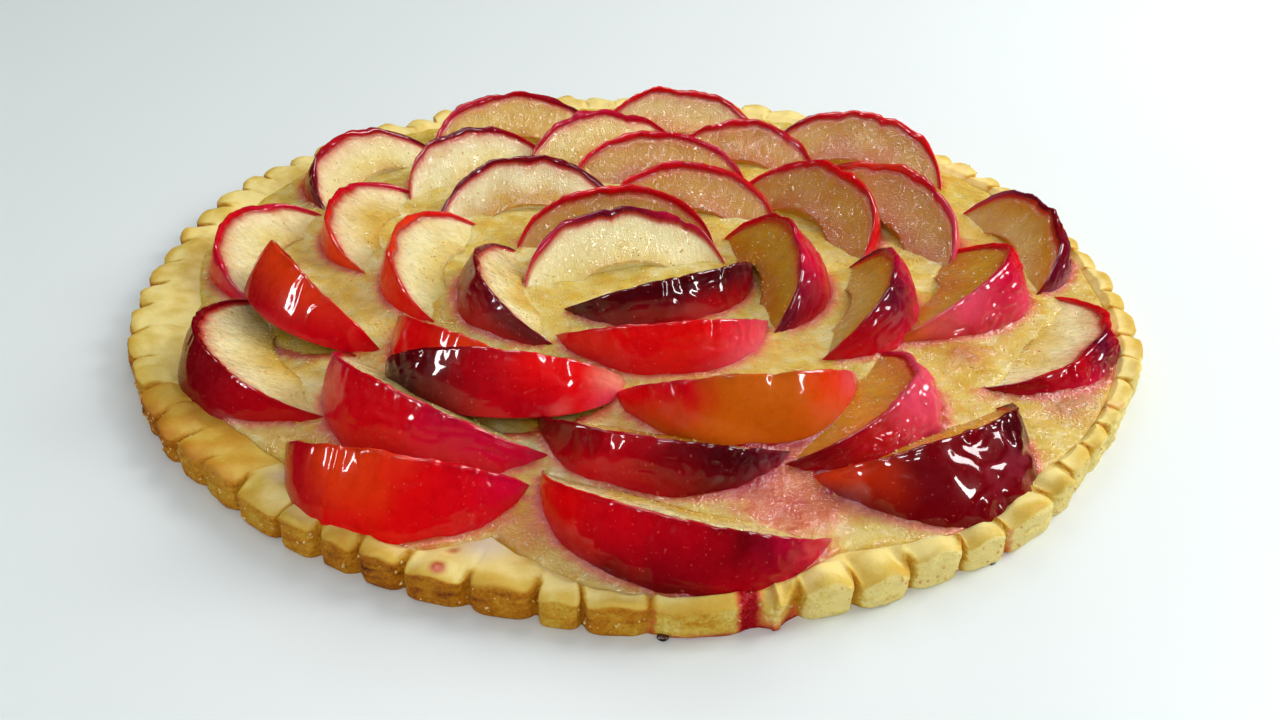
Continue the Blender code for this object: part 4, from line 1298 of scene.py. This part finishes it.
def scatter_tree(name, weight):
    """A node tree that scatters lumps over a surface, more where the named weight is high."""
    tree = bpy.data.node_groups.new(name, 'GeometryNodeTree')
    tree.interface.new_socket("Surface", in_out='INPUT', socket_type='NodeSocketGeometry')
    for socket in ("Size", "Density", "Unevenness"):
        tree.interface.new_socket(socket, in_out='INPUT', socket_type=FLOAT)
    tree.interface.new_socket("Seed", in_out='INPUT', socket_type='NodeSocketInt')
    tree.interface.new_socket("Finish", in_out='INPUT', socket_type='NodeSocketMaterial')
    tree.interface.new_socket("Lumps", in_out='OUTPUT', socket_type='NodeSocketGeometry')
    given = tree.nodes.new('NodeGroupInput').outputs
    out = tree.nodes.new('NodeGroupOutput').inputs
    share = add_node(tree, 'GeometryNodeInputNamedAttribute', data_type='FLOAT')
    share.inputs["Name"].default_value = weight
    density = calc(tree, 'MULTIPLY', given["Density"], share.outputs[0])
    spots = add_node(tree, 'GeometryNodeDistributePointsOnFaces', {
        "Mesh": given["Surface"], "Density": density, "Seed": given["Seed"]})
    lump = add_node(tree, 'GeometryNodeMeshIcoSphere', {"Subdivisions": 1})
    lump.inputs["Radius"].default_value = 0.5 * MM
    turn = add_node(tree, 'FunctionNodeRandomValue', {"Seed": given["Seed"]}, data_type='FLOAT_VECTOR')
    turn.inputs[1].default_value = (2 * pi, 2 * pi, 2 * pi)
    least = calc(tree, 'MULTIPLY', given["Size"], calc(tree, 'SUBTRACT', 1.0, given["Unevenness"]))
    most = calc(tree, 'MULTIPLY', given["Size"], calc(tree, 'ADD', 1.0, given["Unevenness"]))
    size = add_node(tree, 'FunctionNodeRandomValue', {
        2: least, 3: most, "Seed": calc(tree, 'ADD', given["Seed"], 1.0)}, data_type='FLOAT').outputs[1]
    breadth, thickness = (calc(tree, 'MULTIPLY', size, share) for share in LUMP_FLATNESS)
    flat = add_node(tree, 'ShaderNodeCombineXYZ', {"X": size, "Y": breadth, "Z": thickness}).outputs[0]
    placed = add_node(tree, 'GeometryNodeInstanceOnPoints', {
        "Points": spots.outputs["Points"], "Instance": lump.outputs["Mesh"], "Rotation": turn.outputs[0],
        "Scale": flat})
    real = add_node(tree, 'GeometryNodeRealizeInstances', {"Geometry": placed.outputs[0]}).outputs[0]
    finished = add_node(tree, 'GeometryNodeSetMaterial', {"Geometry": real, "Material": given["Finish"]})
    tree.links.new(finished.outputs[0], out["Lumps"])
    return tree


def scattered(name, surface_item, weight, finish, size, density, seed):
    """A plain mesh of lumps scattered over a piece."""
    item = bpy.data.objects.new(name, surface_item.data.copy())
    bpy.context.scene.collection.objects.link(item)
    tree = scatter_tree(name, weight)
    return made_plain(item, tree, Size=size, Density=float(density), Unevenness=SIZE_SPREAD, Seed=seed,
                      Finish=finish)


almond_finish, tree, surface = new_finish(
    "almond grain", Roughness=0.25, Coat_Weight=0.8, Coat_Roughness=0.03, Subsurface_Weight=0.3,
    Subsurface_Scale=1 * MM)
shade = noise_value(tree, object_places(tree), 5.0, 2.0)
tree.links.new(colour_ramp(tree, shade, (0.35, tone(210, 156, 40)), (0.5, tone(230, 194, 90)),
                           (0.68, tone(246, 228, 160))), surface.inputs["Base Color"])
almond_grains = scattered(
    "almond_grains", cream, "grainy", almond_finish, GRAIN_SIZE, GRAIN_DENSITY, GRAIN_SEED)
crumb_finish, tree, surface = new_finish("shortcrust crumb", Roughness=0.6)
shade = noise_value(tree, object_places(tree), 3.0, 2.0)
tree.links.new(colour_ramp(tree, shade, (0.3, tone(212, 158, 74)), (0.5, tone(226, 184, 100)),
                           (0.7, tone(238, 214, 150))), surface.inputs["Base Color"])
crust_crumbs = scattered(
    "crust_crumbs", crust, "crumbly", crumb_finish, CRUMB_SIZE, CRUMB_DENSITY, CRUMB_SEED)
for item, slot in ((almond_grains, "cream"), (crust_crumbs, "crust")):
    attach(item, "root")

# Beads of juice
# Juice and melted sugar stand in small clear beads on the cut faces of the slices, most by the stone's
# hollow. They are scattered over each slice's flesh and kept as one piece.
BEAD_SIZE = 0.7
BEAD_DENSITY = 190000

bead_finish, tree, surface = new_finish(
    "juice bead", Roughness=0.12, Coat_Weight=1.0, Coat_Roughness=0.02, Subsurface_Weight=0.4,
    Subsurface_Scale=1 * MM)
shade = noise_value(tree, object_places(tree), 6.0, 2.0)
tree.links.new(colour_ramp(tree, shade, (0.35, tone(220, 170, 70)), (0.65, tone(240, 214, 140))),
               surface.inputs["Base Color"])
bead_points, bead_faces = [], []
for key, _, _, seed in slice_places():
    beads = scattered("beads", bpy.data.objects["baked_peach_" + key], "glisten", bead_finish, BEAD_SIZE,
                      BEAD_DENSITY, seed)
    spots = np.empty(3 * len(beads.data.vertices))
    beads.data.vertices.foreach_get("co", spots)
    corners = np.empty(len(beads.data.loops), np.int32)
    beads.data.loops.foreach_get("vertex_index", corners)
    bead_faces.append(corners.reshape(-1, 3) + sum(len(part) for part in bead_points))
    bead_points.append(spots.reshape(-1, 3) / MM)
    bpy.data.objects.remove(beads)
juice_beads = new_piece("juice_beads", np.vstack(bead_points), np.vstack(bead_faces).tolist(), bead_finish)
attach(juice_beads, "root")

# Burnt juice
# Peach juice boiled over the border while the tart baked and burnt in dark beads at the crust's foot.
# Each bead: bearing in degrees, distance from the centre, length, width and height in mm
BURNT_BEADS = ((-87, 151.0, 2.8, 2.2, 1.2), (-56.2, 150.8, 1.8, 1.2, 0.8), (-52.3, 150.4, 1.4, 1.1, 0.7))
BEAD_RINGS = 10
BEAD_SECTORS = 18
BEAD_BUMPS = 0.22
BEAD_SUNK = 0.35
TABLE_GAP = 0.05


def bead(bearing, distance, length, width, height, seed):
    """Points and faces of a flattened, uneven bead that lies on the table."""
    tilt = np.linspace(0, pi, BEAD_RINGS + 2)[1:-1, None]
    turn = np.linspace(0, 2 * pi, BEAD_SECTORS, endpoint=False)[None, :]
    x = np.sin(tilt) * np.cos(turn)
    y = np.sin(tilt) * np.sin(turn)
    z = np.cos(tilt) + 0 * turn
    ball = np.vstack(([(0, 0, 1)], np.stack((x, y, z), -1).reshape(-1, 3), [(0, 0, -1)]))
    ball = ball * (1 + BEAD_BUMPS * waves(ball, 0.9, seed)[:, None]) * (length / 2, width / 2, height / 2)
    ball[:, 2] = np.maximum(ball[:, 2], -height * BEAD_SUNK)
    ball[:, 2] += TABLE_GAP - ball[:, 2].min()
    around = radians(bearing)
    spun = np.stack((ball[:, 0] * -sin(around) + ball[:, 1] * cos(around),
                     ball[:, 0] * cos(around) + ball[:, 1] * sin(around), ball[:, 2]), -1)
    placed = spun + (distance * cos(around), distance * sin(around), 0)
    ring = np.arange(BEAD_SECTORS)
    after = (ring + 1) % BEAD_SECTORS
    last = len(ball) - 1
    faces = [(0, 1 + i, 1 + j) for i, j in zip(ring, after)]
    for row in range(BEAD_RINGS - 1):
        low, high = 1 + row * BEAD_SECTORS, 1 + (row + 1) * BEAD_SECTORS
        faces += [(low + i, high + i, high + j, low + j) for i, j in zip(ring, after)]
    low = 1 + (BEAD_RINGS - 1) * BEAD_SECTORS
    faces += [(low + i, last, low + j) for i, j in zip(ring, after)]
    return placed, faces


burnt_finish, tree, surface = new_finish("burnt juice", Roughness=0.35, Coat_Weight=0.4, Coat_Roughness=0.15)
shade = noise_value(tree, object_places(tree), 0.8, 3.0)
tree.links.new(colour_ramp(tree, shade, (0.35, tone(28, 6, 8)), (0.65, tone(84, 14, 12))),
               surface.inputs["Base Color"])
for number, sizes in enumerate(BURNT_BEADS, 1):
    points, faces = bead(*sizes, number)
    item = new_piece(f"burnt_bead_{number}", points, faces, burnt_finish)
    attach(item, "root")


# Table, light and camera
# A plain pale table under soft daylight from a wide window at the right and back, seen from the front.
# Panels named gleam show in gloss alone, as a bright window and a bright ceiling do.
table_mesh = bpy.data.meshes.new("table")
table_mesh.from_pydata([(-3, -2, 0), (3, -2, 0), (3, 4, 0), (-3, 4, 0)], [], [(0, 1, 2, 3)])
table = bpy.data.objects.new("table", table_mesh)
bpy.context.scene.collection.objects.link(table)
table_finish, tree, surface = new_finish("white table", Roughness=0.5, Specular_IOR_Level=0.3)
surface.inputs["Base Color"].default_value = (0.80, 0.85, 0.84, 1)
table_mesh.materials.append(table_finish)
table.visible_glossy = False


def soft_light(name, place, width, height, power, colour, only_gleams=False):
    """A panel that faces the tart. One that only gleams shows in gloss and adds no light."""
    light = bpy.data.lights.new(name, 'AREA')
    light.shape = 'RECTANGLE'
    light.size = width
    light.size_y = height
    light.energy = power
    light.color = colour
    item = bpy.data.objects.new(name, light)
    item.location = place
    item.rotation_euler = (-Vector(place)).to_track_quat('-Z', 'Y').to_euler()
    item.visible_glossy = only_gleams
    item.visible_diffuse = not only_gleams
    bpy.context.scene.collection.objects.link(item)


soft_light("window", (0.70, 0.22, 0.55), 0.4, 0.5, 5.0, (1.0, 0.99, 0.97))
soft_light("bright_wall", (0.1, 1.0, 0.9), 1.0, 0.6, 5.0, (1.0, 1.0, 1.0))
soft_light("front_fill", (0.1, -1.2, 0.9), 1.2, 0.8, 6.0, (0.98, 0.99, 1.0))
soft_light("window_gleam", (0.60, 0.10, 0.50), 0.30, 0.36, 10, (1.0, 1.0, 1.0), only_gleams=True)
soft_light("front_gleam", (-0.12, -0.42, 0.85), 0.16, 0.05, 2.6, (1.0, 1.0, 1.0), only_gleams=True)
soft_light("left_gleam", (-0.75, -0.45, 0.5), 0.10, 0.40, 7, (1.0, 1.0, 1.0), only_gleams=True)
soft_light("right_gleam", (0.75, -0.55, 0.45), 0.08, 0.36, 5, (1.0, 1.0, 1.0), only_gleams=True)
soft_light("sky_gleam", (-0.15, 0.25, 0.85), 0.5, 0.14, 8, (1.0, 1.0, 1.0), only_gleams=True)

world = bpy.data.worlds.new("pale room")
world.use_nodes = True
world.node_tree.nodes["Background"].inputs["Color"].default_value = (0.93, 0.97, 1.0, 1)
world.node_tree.nodes["Background"].inputs["Strength"].default_value = 0.42
world.cycles_visibility.glossy = False
bpy.context.scene.world = world
bpy.context.scene.view_settings.view_transform = 'Standard'

# The camera's place, and how far it looks down and leans
CAMERA_PLACE = (1.7 * MM, -320.1 * MM, 180.7 * MM)
CAMERA_PITCH = radians(33.14)
CAMERA_ROLL = radians(1.39)
camera_data = bpy.data.cameras.new("camera")
camera_data.sensor_width = 36
camera_data.lens = 32
camera_data.clip_start = 0.01
camera = bpy.data.objects.new("camera", camera_data)
forward = Vector((0, cos(CAMERA_PITCH), -sin(CAMERA_PITCH)))
level_right = Vector((1, 0, 0))
level_up = level_right.cross(forward)
right = level_right * cos(CAMERA_ROLL) + level_up * sin(CAMERA_ROLL)
up = level_up * cos(CAMERA_ROLL) - level_right * sin(CAMERA_ROLL)
facing = Matrix((right, up, -forward)).transposed().to_4x4()
facing.translation = Vector(CAMERA_PLACE)
camera.matrix_world = facing
bpy.context.scene.collection.objects.link(camera)
bpy.context.scene.camera = camera
